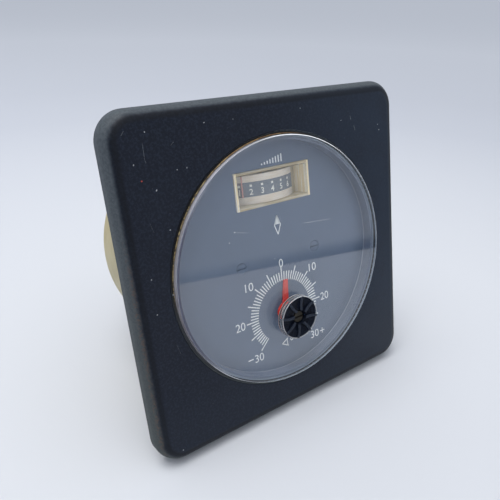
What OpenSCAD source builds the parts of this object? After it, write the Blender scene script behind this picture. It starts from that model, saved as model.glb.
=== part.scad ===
// Panel instrument with a declination setting knob and an edgewise tuning meter.
// X runs to the right seen from the front, Y into the panel and Z up, in millimetres.
// The origin is on the axis of the round case, in the rear face of the square frame,
// which is the face that meets the panel. Names that end in _y are planes across the axis.

/* [Frame] */
// Side of the square frame
frame_w = 110; // [106:1:120]
// Depth of the frame from the panel to its front face
frame_depth = 7.3; // [7:0.1:9]
// Radius of the rounded front edge
frame_edge_r = 4.8; // [2:0.2:6]
// Radius of the corners seen from the front
frame_corner_r = 9; // [7:0.5:14]
// Skin left in front of the pockets in the rear of the frame
frame_skin = 2.8; // [2:0.1:3.6]
// Wall left between the pockets and the sides of the frame
frame_wall = 3.4; // [3:0.1:4.5]
// Side of one rear pocket
pocket_w = 7; // [5:0.5:8]
// Web between two rear pockets
pocket_web = 1.4; // [1:0.1:2.5]
// Pockets along each side of a corner
pocket_rows = 3; // [1:1:3]
// Radius of the worn edge round the opening
opening_edge_r = 0.7; // [0.3:0.1:1]
// Ledge between the lens and the case
ledge_t = 1.2; // [0.8:0.1:1.8]

/* [Gasket] */
// Land between the case flange and the gasket groove
gasket_land = 0.8; // [0.6:0.1:1.2]
// Width of the gasket
gasket_w = 2; // [1.2:0.1:2.5]
// Depth of the gasket and of its groove
gasket_t = 1.2; // [0.8:0.1:2]

/* [Lens] */
// Radius of the clear lens
lens_r = 42; // [41.6:0.1:42.2]
// Thickness of the lens
lens_t = 3; // [2.5:0.1:3.4]
// Height of the lens in front of the frame
lens_proud = 1.5; // [1:0.1:2]
// Rounding of the front rim of the lens
lens_edge_r = 0.4; // [0.2:0.1:0.8]
// Width of the sealing compound round the lens
seal_w = 0.8; // [0.5:0.1:1.1]
// Thickness of the compound behind the lens
seal_lip_t = 0.6; // [0.4:0.1:0.9]
// Height of the compound up the edge of the lens
seal_h = 1.1; // [0.6:0.1:1.4]

/* [Case] */
// Radius of the barrel, for an 86 mm panel cut-out
case_r = 42.35; // [42.2:0.05:42.6]
// Wall of the barrel
case_wall = 2.05; // [1.6:0.05:2.4]
// Depth of the case behind the panel face
case_depth = 55; // [52:1:70]
// Thickness of the rear wall
case_back_t = 2.5; // [2:0.1:3.5]
// Rounding of the rear rim
case_edge_r = 2; // [1:0.1:2.4]
// Width of the flange that the frame holds
flange_w = 1.25; // [1:0.05:1.6]

/* [Dial] */
// Depth of the dial face behind the front face of the frame
dial_back = 5.4; // [5:0.1:6]
// Thickness of the dial plate
dial_t = 1; // [0.8:0.1:1.5]
// Width of the shoulder that the dial plate rests on
shoulder_w = 0.9; // [0.6:0.05:1.2]
// Wall of the grey ring between lens and dial
ring_wall = 0.8; // [0.6:0.1:1.5]
// Distance of each dial screw from the centre line
dial_screw_x = 15.7; // [14:0.1:20]
// Height between the bottom of the meter case and the dial screws
dial_screw_drop = 14.1; // [13:0.1:16]
// Radius of a dial screw's head
dial_screw_head_r = 2; // [1.8:0.1:2.5]
// Radius of a dial screw's shank
dial_screw_r = 1; // [0.8:0.1:1.2]
// Depth of a dial screw's head below the face of the dial
dial_screw_sink = 0.25; // [0.1:0.05:0.4]

/* [Declination scale] */
// Height of the setting axis above the centre, below it when negative
knob_z = -19; // [-20:0.5:-18]
// Angle of one unit of the scale in degrees
unit_angle = 4.5; // [4:0.1:4.6]
// Units marked on each side of zero
unit_count = 30; // [10:1:30]
// Units from one long mark to the next
long_every = 5; // [2:1:10]
// Inner radius of the marks
mark_r = 11.3; // [10.5:0.1:12.5]
// Length of a short mark
mark_short = 3.2; // [2:0.1:3.6]
// Length of a long mark
mark_long = 5; // [4:0.1:6]
// Width of a mark
mark_w = 0.42; // [0.2:0.02:0.5]
// Thickness of the printed marks
print_t = 0.06; // [0.04:0.01:0.2]

/* [Knob] */
// Radius of the clear knob
knob_r = 7.6; // [7.2:0.05:8]
// Rounding of the clear knob's edges
knob_edge_r = 0.3; // [0.1:0.05:0.4]
// Height of the clear knob
knob_h = 2.7; // [2.4:0.1:5]
// Gap between knob and lens
knob_gap = 0.3; // [0.2:0.05:0.6]
// Wall of the clear knob round the rim of the black insert
knob_rim = 0.35; // [0.32:0.01:0.6]
// Wall of the clear knob behind the rim of the insert
knob_wall = 0.9; // [0.7:0.05:1.2]
// Thickness of the clear knob's floor
knob_floor = 0.6; // [0.5:0.05:0.8]
// Thickness of the insert's rim
insert_t = 1.1; // [1:0.05:1.3]
// Depth of the rim's face below the front of the clear knob
insert_drop = 0.3; // [0.2:0.05:0.5]
// Depth of the dished face at the eye below the front of the clear knob
insert_dish = 0.9; // [0.5:0.05:0.95]
// Number of vanes on the insert
vane_count = 8; // [5:1:10]
// Width of a vane
vane_w = 0.9; // [0.6:0.1:1.2]
// Height of the vanes in front of the clear knob
vane_proud = 0.15; // [0.05:0.05:0.5]
// Bow radius of a vane
vane_bow_r = 9; // [7:0.5:20]
// Radius of the eye in the middle, where the screw sits
eye_r = 2.4; // [2.2:0.1:3]
// Floor of the eye
insert_floor = 0.4; // [0.3:0.05:0.5]
// Radius of the knob screw's head
knob_screw_head_r = 1.9; // [1.5:0.1:2.1]
// Radius of the knob screw's shank
knob_screw_r = 1; // [0.8:0.1:1.5]
// Length of the knob screw's shank
knob_screw_len = 4.5; // [3:0.5:8]

/* [Pointer] */
// Angle at which the pointer stands, to the right of zero when positive
pointer_rest = 6; // [-30:0.5:30]
// Thickness of the red pointer
pointer_t = 0.4; // [0.3:0.05:0.6]
// Height of the pointer above the dial
pointer_gap = 0.2; // [0.15:0.05:0.6]
// Radius of the pointer's tip
pointer_tip_r = 11.5; // [10:0.1:13]
// Width of the pointer at its tip
pointer_tip_w = 1.8; // [1:0.1:2.4]
// Width of the pointer where it leaves its hub
pointer_root_w = 2.9; // [2:0.1:4]
// Radius of the pointer's hub
pointer_hub_r = 3.3; // [3.1:0.1:4]
// Radius of the boss in front of the hub
pointer_boss_r = 2.9; // [2.7:0.1:3]
// Height of the boss in front of the hub
pointer_boss_h = 1.2; // [0.6:0.1:1.8]

/* [Potentiometer] */
// Radius of the spindle in the potentiometer
spindle_r = 3; // [2.6:0.1:3.2]
// Radius of the spindle where it carries the pointer and the knob
spindle_front_r = 2.2; // [1.8:0.1:2.4]
// Running clearance of the spindle in its bushes
run_gap = 0.05; // [0.03:0.01:0.09]
// Radius of the potentiometer
pot_r = 12; // [11:0.5:14]
// Depth of the moulded base
pot_base_t = 5; // [4.5:0.5:8]
// Depth of the metal cover
pot_cover_t = 7; // [6:0.5:12]
// Wall of the metal cover
pot_cover_wall = 0.6; // [0.4:0.1:1]
// Wall of the moulded base
pot_base_wall = 1.4; // [1:0.1:2]
// Front floor of the moulded base
pot_floor = 2; // [1.5:0.1:3]
// Radius of the threaded bush
bush_r = 5; // [4.5:0.1:5.5]
// Width of the fixing nut across its flats
pot_nut_w = 13; // [12:0.5:15]
// Thickness of the fixing nut
pot_nut_t = 2; // [1.5:0.1:2.2]
// Thickness of the washer under the nut
pot_washer_t = 0.4; // [0.3:0.1:0.6]
// Middle radius of the resistance track
track_r = 8; // [7.5:0.1:8.5]
// Width of the resistance track
track_w = 3; // [2:0.1:3]
// Thickness of the resistance track
track_t = 0.5; // [0.3:0.1:0.8]
// Half angle of the gap in the track
track_gap_angle = 30; // [20:1:35]
// Distance between two terminals
lug_pitch = 4; // [3:0.1:4]
// Width of a terminal
lug_w = 1.6; // [1:0.1:2]
// Thickness of a terminal
lug_t = 0.4; // [0.3:0.1:0.6]
// Length of a terminal outside the base
lug_len = 4.5; // [3:0.5:6]

/* [Carrier] */
// Thickness of the carrier floor behind the dial
carrier_t = 2; // [1.5:0.1:3]
// Space between dial plate and carrier floor
carrier_space = 3; // [2.8:0.1:4]
// Width of the carrier rim
carrier_rim_w = 2; // [1.5:0.1:4]
// Radius of the bosses under the dial screws
carrier_boss_r = 3; // [2.4:0.1:4]

/* [Meter window] */
// Width of the cut-out in the dial
window_w = 30.3; // [29:0.1:31]
// Height of the cut-out in the dial
window_h = 12.4; // [11.9:0.1:12.6]
// Height of the cut-out's middle above the middle of the meter case
window_lift = 0.85; // [0.6:0.05:1]
// Height of the clear cap in front of the dial
cap_proud = 0.4; // [0.3:0.05:0.8]
// Front wall of the clear cap
cap_front_t = 0.6; // [0.5:0.05:0.8]
// Side wall of the clear cap
cap_wall = 0.8; // [0.6:0.1:1]
// Thickness of the clear cap's flange
cap_flange_t = 1; // [0.8:0.1:1.5]

/* [Meter] */
// Width of the meter case
meter_w = 34; // [33:0.5:36]
// Height of the meter case
meter_h = 20; // [19.4:0.2:20.6]
// Gap between the upper corners of the meter case and the can
meter_can_gap = 1.39; // [1.2:0.01:1.6]
// Wall of the meter case
meter_wall = 1.2; // [1:0.1:1.5]
// Radius of the curved scale
scale_r = 18.6; // [18:0.1:19.2]
// Thickness of the curved scale
scale_t = 1.2; // [0.8:0.1:1.6]
// Half angle of the curved scale
scale_half_angle = 46; // [44:0.5:48]
// Height of the curved scale
scale_h = 9.3; // [8.9:0.1:9.4]
// Height of the grey strip on the scale
strip_h = 4.8; // [4:0.1:6]
// Height of the strip's middle below the middle of the window
strip_drop = 0.25; // [0:0.05:0.8]
// Angle of the strip's left end
strip_left = 45; // [36:1:46]
// Angle of the strip's right end
strip_right = 35; // [26:1:44]
// Thickness of the strip
strip_t = 0.08; // [0.05:0.01:0.12]
// Angle at which the needle stands, to the right of the middle when positive
needle_rest = -32.3; // [-36:0.1:20]
// Angle of the left stop
needle_left = -38.3; // [-39:0.1:-37]
// Angle of the right stop
needle_right = 25.7; // [22:0.1:28]
// Thickness of the needle's blade
needle_t = 0.25; // [0.15:0.05:0.3]
// Width of the needle's blade
needle_w = 0.45; // [0.3:0.05:0.8]
// Gap between needle and scale and between needle and cap
needle_gap = 0.2; // [0.15:0.05:0.3]
// Length of the blade that hangs in front of the scale
needle_drop = 7.5; // [6:0.1:8.2]

/* [Meter movement] */
// Radius of the core magnet
core_r = 4.6; // [4:0.1:4.8]
// Height of core and ring
core_h = 6; // [5:0.1:6.2]
// Air gap between core and ring
air_gap = 2; // [1.8:0.1:2.4]
// Wall of the soft-iron ring
yoke_wall = 2; // [1.5:0.1:2.4]
// Clearance of the coil inside the air gap
coil_gap = 0.3; // [0.2:0.05:0.4]
// Thickness of the coil's former
former_t = 0.3; // [0.2:0.05:0.4]
// Thickness of the bars that join core and ring
bar_t = 0.8; // [0.6:0.1:1]
// Width of those bars
bar_w = 3.6; // [2.5:0.1:4.5]
// Width of the coil
coil_w = 3; // [2:0.1:3.2]
// Thickness of the coil over and under the core
coil_t = 1; // [0.8:0.1:1.1]
// Turns of each hairspring
spring_turns = 3.5; // [2.5:1:5.5]
// Thickness of the hairspring ribbon
spring_t = 0.12; // [0.08:0.02:0.2]

/* [Circuit board] */
// Width of the board
board_w = 38; // [36:1:44]
// Height between the bottom of the meter case and the top edge of the board
board_drop = 1; // [0.5:0.1:2]
// Gap between the lower corners of the board and the can
board_can_gap = 1.35; // [1:0.05:2]
// Thickness of the board
board_t = 1.6; // [1:0.1:2]
// Space between the board and the rear wall
board_space = 6.4; // [4:0.1:9]
// Distance of the pillars from the edges of the board
pillar_inset = 4; // [3.5:0.1:5]
// Width of a pillar across its flats
pillar_w = 5; // [4.5:0.1:6]
// Radius of the pillar threads
pillar_thread_r = 1.25; // [1:0.05:1.5]
// Radius of a wire
wire_r = 0.5; // [0.3:0.05:0.6]

/* [Rear] */
// Distance between the two mounting studs
stud_pitch = 54; // [50:1:58]
// Radius of a stud's free end
stud_r = 2.5; // [2:0.1:3]
// Length of a stud's free end
stud_len = 18; // [10:1:25]
// Radius of the stud where it passes the rear wall
stud_neck_r = 3; // [2.6:0.1:3.5]
// Thickness of a stud nut
stud_nut_t = 3; // [2:0.1:4]
// Width of a stud nut across its flats
stud_nut_w = 10; // [9:0.5:11]
// Number of terminal tabs
tab_count = 6; // [3:1:6]
// Distance between two tabs
tab_pitch = 6; // [5:0.1:6]
// Width of a tab
tab_w = 6.3; // [4.8:0.1:6.3]
// Thickness of a tab
tab_t = 0.8; // [0.6:0.1:1]
// Length of a tab outside its block
tab_len = 8; // [6:0.5:12]
// Bevel at the corners of a tab
tab_bevel = 1; // [0.5:0.1:1.3]
// Radius of the hole in a tab
tab_hole_r = 0.9; // [0.6:0.1:1.1]
// Height of the terminal block's middle above the centre
block_z = -14; // [-15:0.5:-13]
// Height of the terminal block
block_h = 14; // [11:0.5:15]
// Depth of the terminal block
block_t = 6; // [4:0.5:8]
// Height of the lamp above the centre
lamp_z = 27; // [24:0.5:28]
// Radius of the lamp holder's body
lamp_r = 5.4; // [4.8:0.1:5.8]
// Length of the lamp holder inside the case
lamp_in = 10.5; // [8:0.5:11]
// Radius of the bulb
bulb_r = 3; // [2.5:0.1:3.5]

/* [Hidden] */
$fn = 96;

// Colours as the object shows them
black_plastic = [0.10, 0.11, 0.12];
dial_grey = [0.43, 0.47, 0.52];
cream = [0.80, 0.76, 0.62];
clear = [0.80, 0.88, 0.90, 0.35];
amber_clear = [0.80, 0.72, 0.50, 0.45];
seal_brown = [0.42, 0.27, 0.12];
pointer_red = [0.85, 0.13, 0.12];
print_white = [0.95, 0.95, 0.95];
brass = [0.78, 0.63, 0.30];
steel = [0.70, 0.71, 0.73];
copper = [0.72, 0.42, 0.22];
board_green = [0.16, 0.36, 0.24];
phenolic = [0.42, 0.26, 0.16];

// Fits
slip = 0.1;      // between pieces that drop into each other
slot_gap = 0.05; // round a tab or lug in its slot
screw_gap = 0.1; // round a screw in a plain hole
cut = 1;         // how far a cutting solid runs past the face that it cuts
bond = 0.1;      // how far two forms of one piece run into each other

// Planes across the axis, from the front to the rear
frame_front_y = -frame_depth;
lens_front_y = frame_front_y - lens_proud;
lens_rear_y = lens_front_y + lens_t;
ledge_front_y = lens_rear_y + seal_lip_t;
ledge_rear_y = ledge_front_y + ledge_t;
dial_y = frame_front_y + dial_back;
dial_rear_y = dial_y + dial_t;
floor_y = dial_rear_y + carrier_space;
carrier_rear_y = floor_y + carrier_t;
case_rear_y = case_depth;
back_wall_y = case_rear_y - case_back_t;
board_rear_y = back_wall_y - board_space;
board_y = board_rear_y - board_t;

// Radii of the parts that nest in the case
bore_r = case_r - case_wall;
dial_r = bore_r + shoulder_w;
mouth_r = dial_r + slip;
flange_r = case_r + flange_w;
opening_r = lens_r + seal_w;

// Gasket groove and pockets
gasket_in_r = flange_r + slip + gasket_land;
gasket_out_r = gasket_in_r + gasket_w;
pocket_clear_r = gasket_out_r + 1.6;
pocket_end = frame_w / 2 - frame_wall;
pocket_round_r = (frame_w / 2 - frame_corner_r) * sqrt(2) + frame_corner_r - frame_wall;

// Knob and pointer
knob_rear_y = lens_front_y - knob_gap;
knob_front_y = knob_rear_y - knob_h;
insert_rear_y = knob_rear_y - knob_floor;
insert_floor_y = insert_rear_y - insert_floor;
insert_ledge_y = knob_front_y + insert_t;
insert_rim_y = knob_front_y + insert_drop;
insert_dish_y = knob_front_y + insert_dish;
insert_r = knob_r - knob_rim - slip / 2;
insert_rim_w = 0.4;
insert_stem_r = eye_r + 0.6;
vane_turn = 10;
vane_start_r = eye_r + 0.2;
vane_end_r = knob_r - 0.2;
vane_foot_y = (insert_dish_y + insert_ledge_y) / 2;
knob_screw_head_t = 0.7;
screw_slot_w = 0.5;
screw_slot_depth = 0.4;
pointer_rear_y = dial_y - pointer_gap;
pointer_y = pointer_rear_y - pointer_t;
lens_bush_r = spindle_front_r + 1.15;
lens_bush_flange_r = lens_bush_r + 0.6;
lens_bush_flange_t = 0.5;
dial_hole_r = spindle_r + 0.3;

// Potentiometer, from the carrier to the rear
pot_front_y = carrier_rear_y;
pot_pocket_y = pot_front_y + pot_floor;
pot_split_y = pot_front_y + pot_base_t;
pot_rear_y = pot_split_y + pot_cover_t;
pot_pocket_r = pot_r - pot_base_wall;
bush_flange_r = track_r - track_w / 2 - 0.3;
bush_flange_t = 0.5;
bush_drop = 0.3; // from the rear of the dial to the end of the bush
bush_front_y = dial_rear_y + bush_drop;
track_front_y = pot_pocket_y + track_t;
spindle_rear_y = pot_rear_y - pot_cover_wall - 1;
wiper_gap = 0.1;
wiper_contact_h = 0.2;
wiper_arm_t = 0.5;
wiper_arm_w = 2;
wiper_disc_r = spindle_r + 2;
wiper_disc_t = 1.6;
wiper_arm_y = track_front_y + wiper_gap + wiper_contact_h;
nut_corner = 1 / cos(30); // from a hexagon's flat to its corner
pot_washer_r = pot_nut_w / 2 + 0.8;

// Meter, whose moving parts turn on an upright axis behind the window
meter_top_z = sqrt(pow(bore_r - meter_can_gap, 2) - pow(meter_w / 2, 2));
meter_z = meter_top_z - meter_h / 2;
meter_bottom_z = meter_top_z - meter_h;
dial_screw_z = meter_bottom_z - dial_screw_drop;
window_z = meter_z + window_lift;
cap_w = window_w - 2 * slip - 0.1;
cap_h = window_h - 2 * slip - 0.1;
cap_front_y = dial_y - cap_proud;
meter_front_y = carrier_rear_y + cap_flange_t;
needle_out_r = scale_r + needle_gap + needle_t;
meter_axis_y = cap_front_y + cap_front_t + needle_gap + needle_out_r;
scale_bottom_z = window_z - cap_h / 2 + cap_wall + slip;
scale_top_z = scale_bottom_z + scale_h;
arm_gap = 0.3;
arm_t = 0.4;
arm_z = scale_top_z + arm_gap;
strip_z = window_z - strip_drop - strip_h / 2;
hub_t = 0.3;
hub_r = 1.6;
coil_top_z = arm_z - hub_t;
core_top_z = coil_top_z - coil_t - 0.2 - bar_t;
core_z = core_top_z - core_h;
coil_bottom_z = core_z - bar_t - 0.2 - coil_t;
yoke_in_r = core_r + air_gap;
yoke_r = yoke_in_r + yoke_wall;
coil_half = sqrt(pow(yoke_in_r - coil_gap, 2) - pow(coil_w / 2, 2));
coil_inner_half = core_r + coil_gap + 0.2;
needle_middle = (needle_left + needle_right) / 2;
coil_angle = needle_rest - needle_middle;
staff_r = 0.6;
collet_r = 1;
spring_h = 0.3;
spring_r = 3.2;
spring_steps = 20; // ribbon sides in one turn
post_w = 0.8;
staff_lift = 1.7;  // from the hub to the end of the staff's straight part
tip_len = 0.5;
tip_r = 0.1;
jewel_r = 1.2;
jewel_dip = 0.3;   // how far a jewel screw reaches past its bridge
cup_r = 0.9;
cup_h = 0.55;
staff_top_z = arm_z + staff_lift;
staff_bottom_z = coil_bottom_z - hub_t - staff_lift;
jewel_top_z = staff_top_z + 0.2;
jewel_bottom_z = staff_bottom_z - 0.2;
bridge_top_z = jewel_top_z + jewel_dip;
bridge_bottom_z = jewel_bottom_z - jewel_dip;
spring_top_z = staff_top_z - 0.6;
spring_bottom_z = staff_bottom_z + 0.6 - spring_h;
frame_plate_y = meter_axis_y + yoke_r;
frame_plate_t = 1.3;
meter_rear_y = frame_plate_y + frame_plate_t;
meter_end_y = meter_rear_y + meter_wall;
meter_in_half = meter_w / 2 - meter_wall;
meter_in_top_z = meter_top_z - meter_wall;
meter_in_bottom_z = meter_bottom_z + meter_wall;
frame_plate_w = 10;
bridge_w = 6;
bridge_reach = 4;
yoke_web_w = 8;
stop_r = 0.5;
stop_ring_r = yoke_r - yoke_wall / 2;
stop_angle = 9.5; // from a stop to the middle of the arm that rests at it
ear_w = 5;
ear_h = 6;
ear_t = 2.2;
meter_screw_r = 1;
meter_screw_head_r = 1.7;
meter_screw_head_t = 1.2;
meter_pin_x = 8;
meter_pin_r = 0.6;
meter_pin_len = 3.4;

// Board and pillars
board_top = meter_bottom_z - board_drop;
board_bottom = -sqrt(pow(bore_r - board_can_gap, 2) - pow(board_w / 2, 2));
pillar_x = board_w / 2 - pillar_inset;
pillar_zs = [board_top - pillar_inset, board_bottom + pillar_inset];
pillar_nut_t = 2;
pillar_thread_len = 6;
board_screw_head_r = 2.2;
board_screw_head_t = 1.6;

// Rear wall
stud_flange_r = 5;
stud_flange_t = 2;
stud_neck_y = case_rear_y + stud_nut_t + 0.3;
block_end = 5;     // from the middle of the last tab to the end of the block
spigot_end = 2;    // from the middle of the last tab to the end of the spigot
spigot_rim = 1.35; // over and under the tabs
tab_span = tab_pitch * (tab_count - 1);
block_w = tab_span + 2 * block_end;
block_spigot_w = tab_span + 2 * spigot_end;
block_spigot_h = tab_w + 2 * spigot_rim;
block_ear_w = 6.4;
block_ear_t = 3;
block_ear_h = 10;
block_screw_x = block_w / 2 + block_ear_w / 2;
block_screw_r = 1.5;
block_screw_head_r = 2.7;
block_screw_head_t = 2;
block_screw_reach = 1; // past the inner face of the rear wall
tab_solder = 0.8;    // length of a tab in front of the board
tab_hole_back = 2.6; // from the end of a tab to the middle of its hole
lamp_head_r = lamp_r + 2.6;
lamp_head_t = 2;
lamp_grip_w = 12;
lamp_grip_t = 2.4;
lamp_grip_h = 4;
lamp_tab_w = 4.8;
lamp_tab_z = 5.2;
lamp_tab_len = 7;
bulb_len = 7.5;
lamp_front_y = case_rear_y - lamp_in;

// Routes of the wires, as points of Y and Z in planes of one X
wire_sides = 8;
meter_wire = [
    [meter_end_y + meter_pin_len, meter_z], [35, meter_z], [37, meter_z - 1], [38.6, meter_z - 3.5],
    [39, meter_z - 7], [39.2, board_top + 0.5], [40.2, board_top - 2], [42, board_top - 3],
    [board_y, board_top - 3],
];
lug_end_z = knob_z - pot_r - lug_len;
pot_wire = [
    [track_front_y + lug_t, lug_end_z + 1], [12, lug_end_z + 1], [20, lug_end_z + 1.2],
    [28, lug_end_z + 2], [35, lug_end_z + 4], [40, lug_end_z + 5], [board_y, lug_end_z + 5],
];

// A flat piece between two planes, from a sketch of X and Z
module plate(y0, y1) {
    translate([0, y1, 0]) rotate([90, 0, 0]) linear_extrude(y1 - y0) children();
}

// A straight round bar along the axis
module rod(r, y0, y1) {
    plate(y0, y1) circle(r);
}

// A round bar along the axis whose radius goes from r0 to r1
module taper(r0, r1, y0, y1) {
    translate([0, y0, 0]) rotate([-90, 0, 0]) cylinder(h = y1 - y0, r1 = r0, r2 = r1);
}

// A flat washer along the axis
module ring(r_out, r_in, y0, y1) {
    plate(y0, y1) difference() {
        circle(r_out);
        circle(r_in);
    }
}

// A turned piece, from a sketch of radius and Y
module turned() {
    rotate([-90, 0, 0]) rotate_extrude() children();
}

// Moves pieces across the face
module at(x, z) {
    translate([x, 0, z]) children();
}

// Copies pieces to the left and the right of the centre line
module pair(x) {
    for (side = [-1, 1]) translate([side * x, 0, 0]) children();
}

// A cutter for a driver's slot in a screw head of some radius
module driver_slot(head_r, y0, y1) {
    plate(y0, y1) square([2 * head_r + cut, screw_slot_w], center = true);
}

// Sketch of a flat tab from y0 to y1 with bevelled corners and a hole, its length along the first axis
module tab_sketch(y0, y1, width) {
    half = width / 2;
    difference() {
        polygon([
            [y0, -half], [y1 - tab_bevel, -half], [y1, tab_bevel - half],
            [y1, half - tab_bevel], [y1 - tab_bevel, half], [y0, half],
        ]);
        translate([y1 - tab_hole_back, 0]) circle(tab_hole_r);
    }
}

// A hexagonal bar along the axis
module hexagon(width, y0, y1) {
    plate(y0, y1) circle(r = width / 2 * nut_corner, $fn = 6);
}

// Half section of the frame, outwards from the centre of a corner and up from the panel
module edge_section() {
    flat = frame_corner_r - frame_edge_r;
    intersection() {
        square([frame_corner_r, frame_depth]);
        union() {
            square([flat, frame_depth]);
            square([frame_corner_r, frame_depth - frame_edge_r]);
            translate([flat, frame_depth - frame_edge_r]) circle(frame_edge_r);
        }
    }
}

// Bar of the frame across its full width, as long as the straight part of a side
module frame_bar() {
    straight = frame_w - 2 * frame_corner_r;
    rotate([90, 0, 0]) linear_extrude(straight, center = true) union() {
        translate([-straight / 2, 0]) square([straight, frame_depth]);
        translate([straight / 2, 0]) edge_section();
        mirror([1, 0]) translate([straight / 2, 0]) edge_section();
    }
}

// Outer form of the frame, lying on its rear face
module frame_form() {
    corner = frame_w / 2 - frame_corner_r;
    frame_bar();
    rotate([0, 0, 90]) frame_bar();
    for (turn = [0:90:270])
        rotate([0, 0, turn]) translate([corner, corner, 0])
            rotate_extrude(angle = 90) edge_section();
}

// Pockets that lighten the four corners of the frame from behind
module frame_pockets() {
    pitch = pocket_w + pocket_web;
    start = pocket_end - pocket_rows * pitch + pocket_web;
    depth = frame_depth - frame_skin;
    for (turn = [0:90:270], i = [0:pocket_rows - 1], j = [0:pocket_rows - 1]) {
        x = start + i * pitch;
        z = start + j * pitch;
        reach = norm([x + pocket_w, z + pocket_w]);
        if (reach > pocket_clear_r + pocket_w / 2)
            rotate([0, 0, turn]) translate([0, 0, -cut]) linear_extrude(depth + cut)
                difference() {
                    intersection() {
                        translate([x, z]) square(pocket_w);
                        circle(pocket_round_r);
                    }
                    circle(pocket_clear_r);
                }
    }
}

// Rounded cutter for the front edge of the frame's opening
module opening_edge() {
    rotate_extrude() difference() {
        translate([opening_r - cut, frame_depth - opening_edge_r])
            square([opening_edge_r + cut, opening_edge_r + cut]);
        translate([opening_r + opening_edge_r, frame_depth - opening_edge_r])
            circle(opening_edge_r);
    }
}

module front_frame() {
    ledge_front = -ledge_front_y;
    ledge_rear = -ledge_rear_y;
    color(black_plastic) rotate([90, 0, 0]) difference() {
        frame_form();
        translate([0, 0, -cut]) cylinder(h = frame_depth + 2 * cut, r = dial_r);
        translate([0, 0, ledge_front]) cylinder(h = frame_depth, r = opening_r);
        translate([0, 0, -cut]) cylinder(h = ledge_rear + cut, r = flange_r + slip);
        opening_edge();
        difference() {
            translate([0, 0, -cut]) cylinder(h = gasket_t + cut, r = gasket_out_r);
            translate([0, 0, -2 * cut]) cylinder(h = gasket_t + 4 * cut, r = gasket_in_r);
        }
        frame_pockets();
    }
}

module panel_gasket() {
    color("dimgray") ring(gasket_out_r, gasket_in_r, -gasket_t, 0);
}

module lens() {
    color(clear) difference() {
        turned() union() {
            translate([0, lens_front_y + lens_edge_r]) square([lens_r, lens_t - lens_edge_r]);
            translate([0, lens_front_y]) square([lens_r - lens_edge_r, lens_t]);
            translate([lens_r - lens_edge_r, lens_front_y + lens_edge_r]) circle(lens_edge_r);
        }
        at(0, knob_z) rod(lens_bush_r + slip / 2, lens_front_y - cut, lens_rear_y + cut);
    }
}

module lens_seal() {
    color(seal_brown) turned() union() {
        translate([dial_r, lens_rear_y]) square([opening_r - dial_r, seal_lip_t]);
        translate([lens_r, lens_rear_y - seal_h]) square([seal_w, seal_h + seal_lip_t]);
    }
}

// Bearing of the spindle in the lens
module lens_bush() {
    color(print_white) at(0, knob_z) difference() {
        union() {
            rod(lens_bush_r, lens_front_y, lens_rear_y + lens_bush_flange_t);
            rod(lens_bush_flange_r, lens_rear_y, lens_rear_y + lens_bush_flange_t);
        }
        rod(spindle_front_r + run_gap, lens_front_y - cut, lens_rear_y + lens_bush_flange_t + cut);
    }
}

module inner_ring() {
    color(dial_grey) ring(dial_r - slip, dial_r - slip - ring_wall, lens_rear_y, dial_y);
}

// Section of the case as radius and Y
module case_section() {
    difference() {
        union() {
            square([case_r, case_depth - case_edge_r]);
            square([case_r - case_edge_r, case_depth]);
            translate([case_r - case_edge_r, case_depth - case_edge_r]) circle(case_edge_r);
            translate([0, ledge_rear_y]) square([flange_r, -ledge_rear_y]);
        }
        translate([0, ledge_rear_y - cut]) square([bore_r, back_wall_y - ledge_rear_y + cut]);
        translate([0, ledge_rear_y - cut]) square([mouth_r, dial_rear_y - ledge_rear_y + cut]);
    }
}

module case_can() {
    color(cream) difference() {
        turned() case_section();
        pair(stud_pitch / 2) rod(stud_neck_r + screw_gap, back_wall_y - cut, case_rear_y + cut);
        at(0, lamp_z) rod(lamp_r + screw_gap, back_wall_y - cut, case_rear_y + cut);
        at(0, block_z) {
            plate(back_wall_y - cut, case_rear_y + cut)
                square([block_spigot_w + 2 * slip, block_spigot_h + 2 * slip], center = true);
            pair(block_screw_x) rod(block_screw_r, back_wall_y - cut, case_rear_y + cut);
        }
    }
}

module dial_plate() {
    color(dial_grey) difference() {
        rod(dial_r, dial_y, dial_rear_y);
        at(0, window_z) plate(dial_y - cut, dial_rear_y + cut)
            square([window_w, window_h], center = true);
        at(0, knob_z) rod(dial_hole_r, dial_y - cut, dial_rear_y + cut);
        at(0, dial_screw_z) pair(dial_screw_x) dial_screw_cut();
    }
}

// Countersunk hole for a dial screw
module dial_screw_cut() {
    rod(dial_screw_r + screw_gap, dial_y - cut, dial_rear_y + cut);
    taper(dial_screw_head_r + slip, dial_screw_r + slip, dial_y, dial_rear_y);
}

module dial_marks() {
    color(print_white) at(0, knob_z)
        for (unit = [-unit_count:unit_count]) {
            long = unit % long_every == 0;
            rotate([0, unit * unit_angle, 0]) at(0, mark_r)
                plate(dial_y - print_t, dial_y) translate([-mark_w / 2, 0])
                    square([mark_w, long ? mark_long : mark_short]);
        }
}

module dial_screws() {
    head_y = dial_y + dial_screw_sink;
    slope = (dial_screw_head_r - dial_screw_r) / dial_t;
    color(dial_grey) at(0, dial_screw_z) pair(dial_screw_x) difference() {
        union() {
            taper(dial_screw_head_r - slope * dial_screw_sink, dial_screw_r, head_y, dial_rear_y);
            rod(dial_screw_r, head_y, floor_y);
        }
        driver_slot(dial_screw_head_r, head_y - cut, head_y + screw_slot_depth);
    }
}

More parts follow.
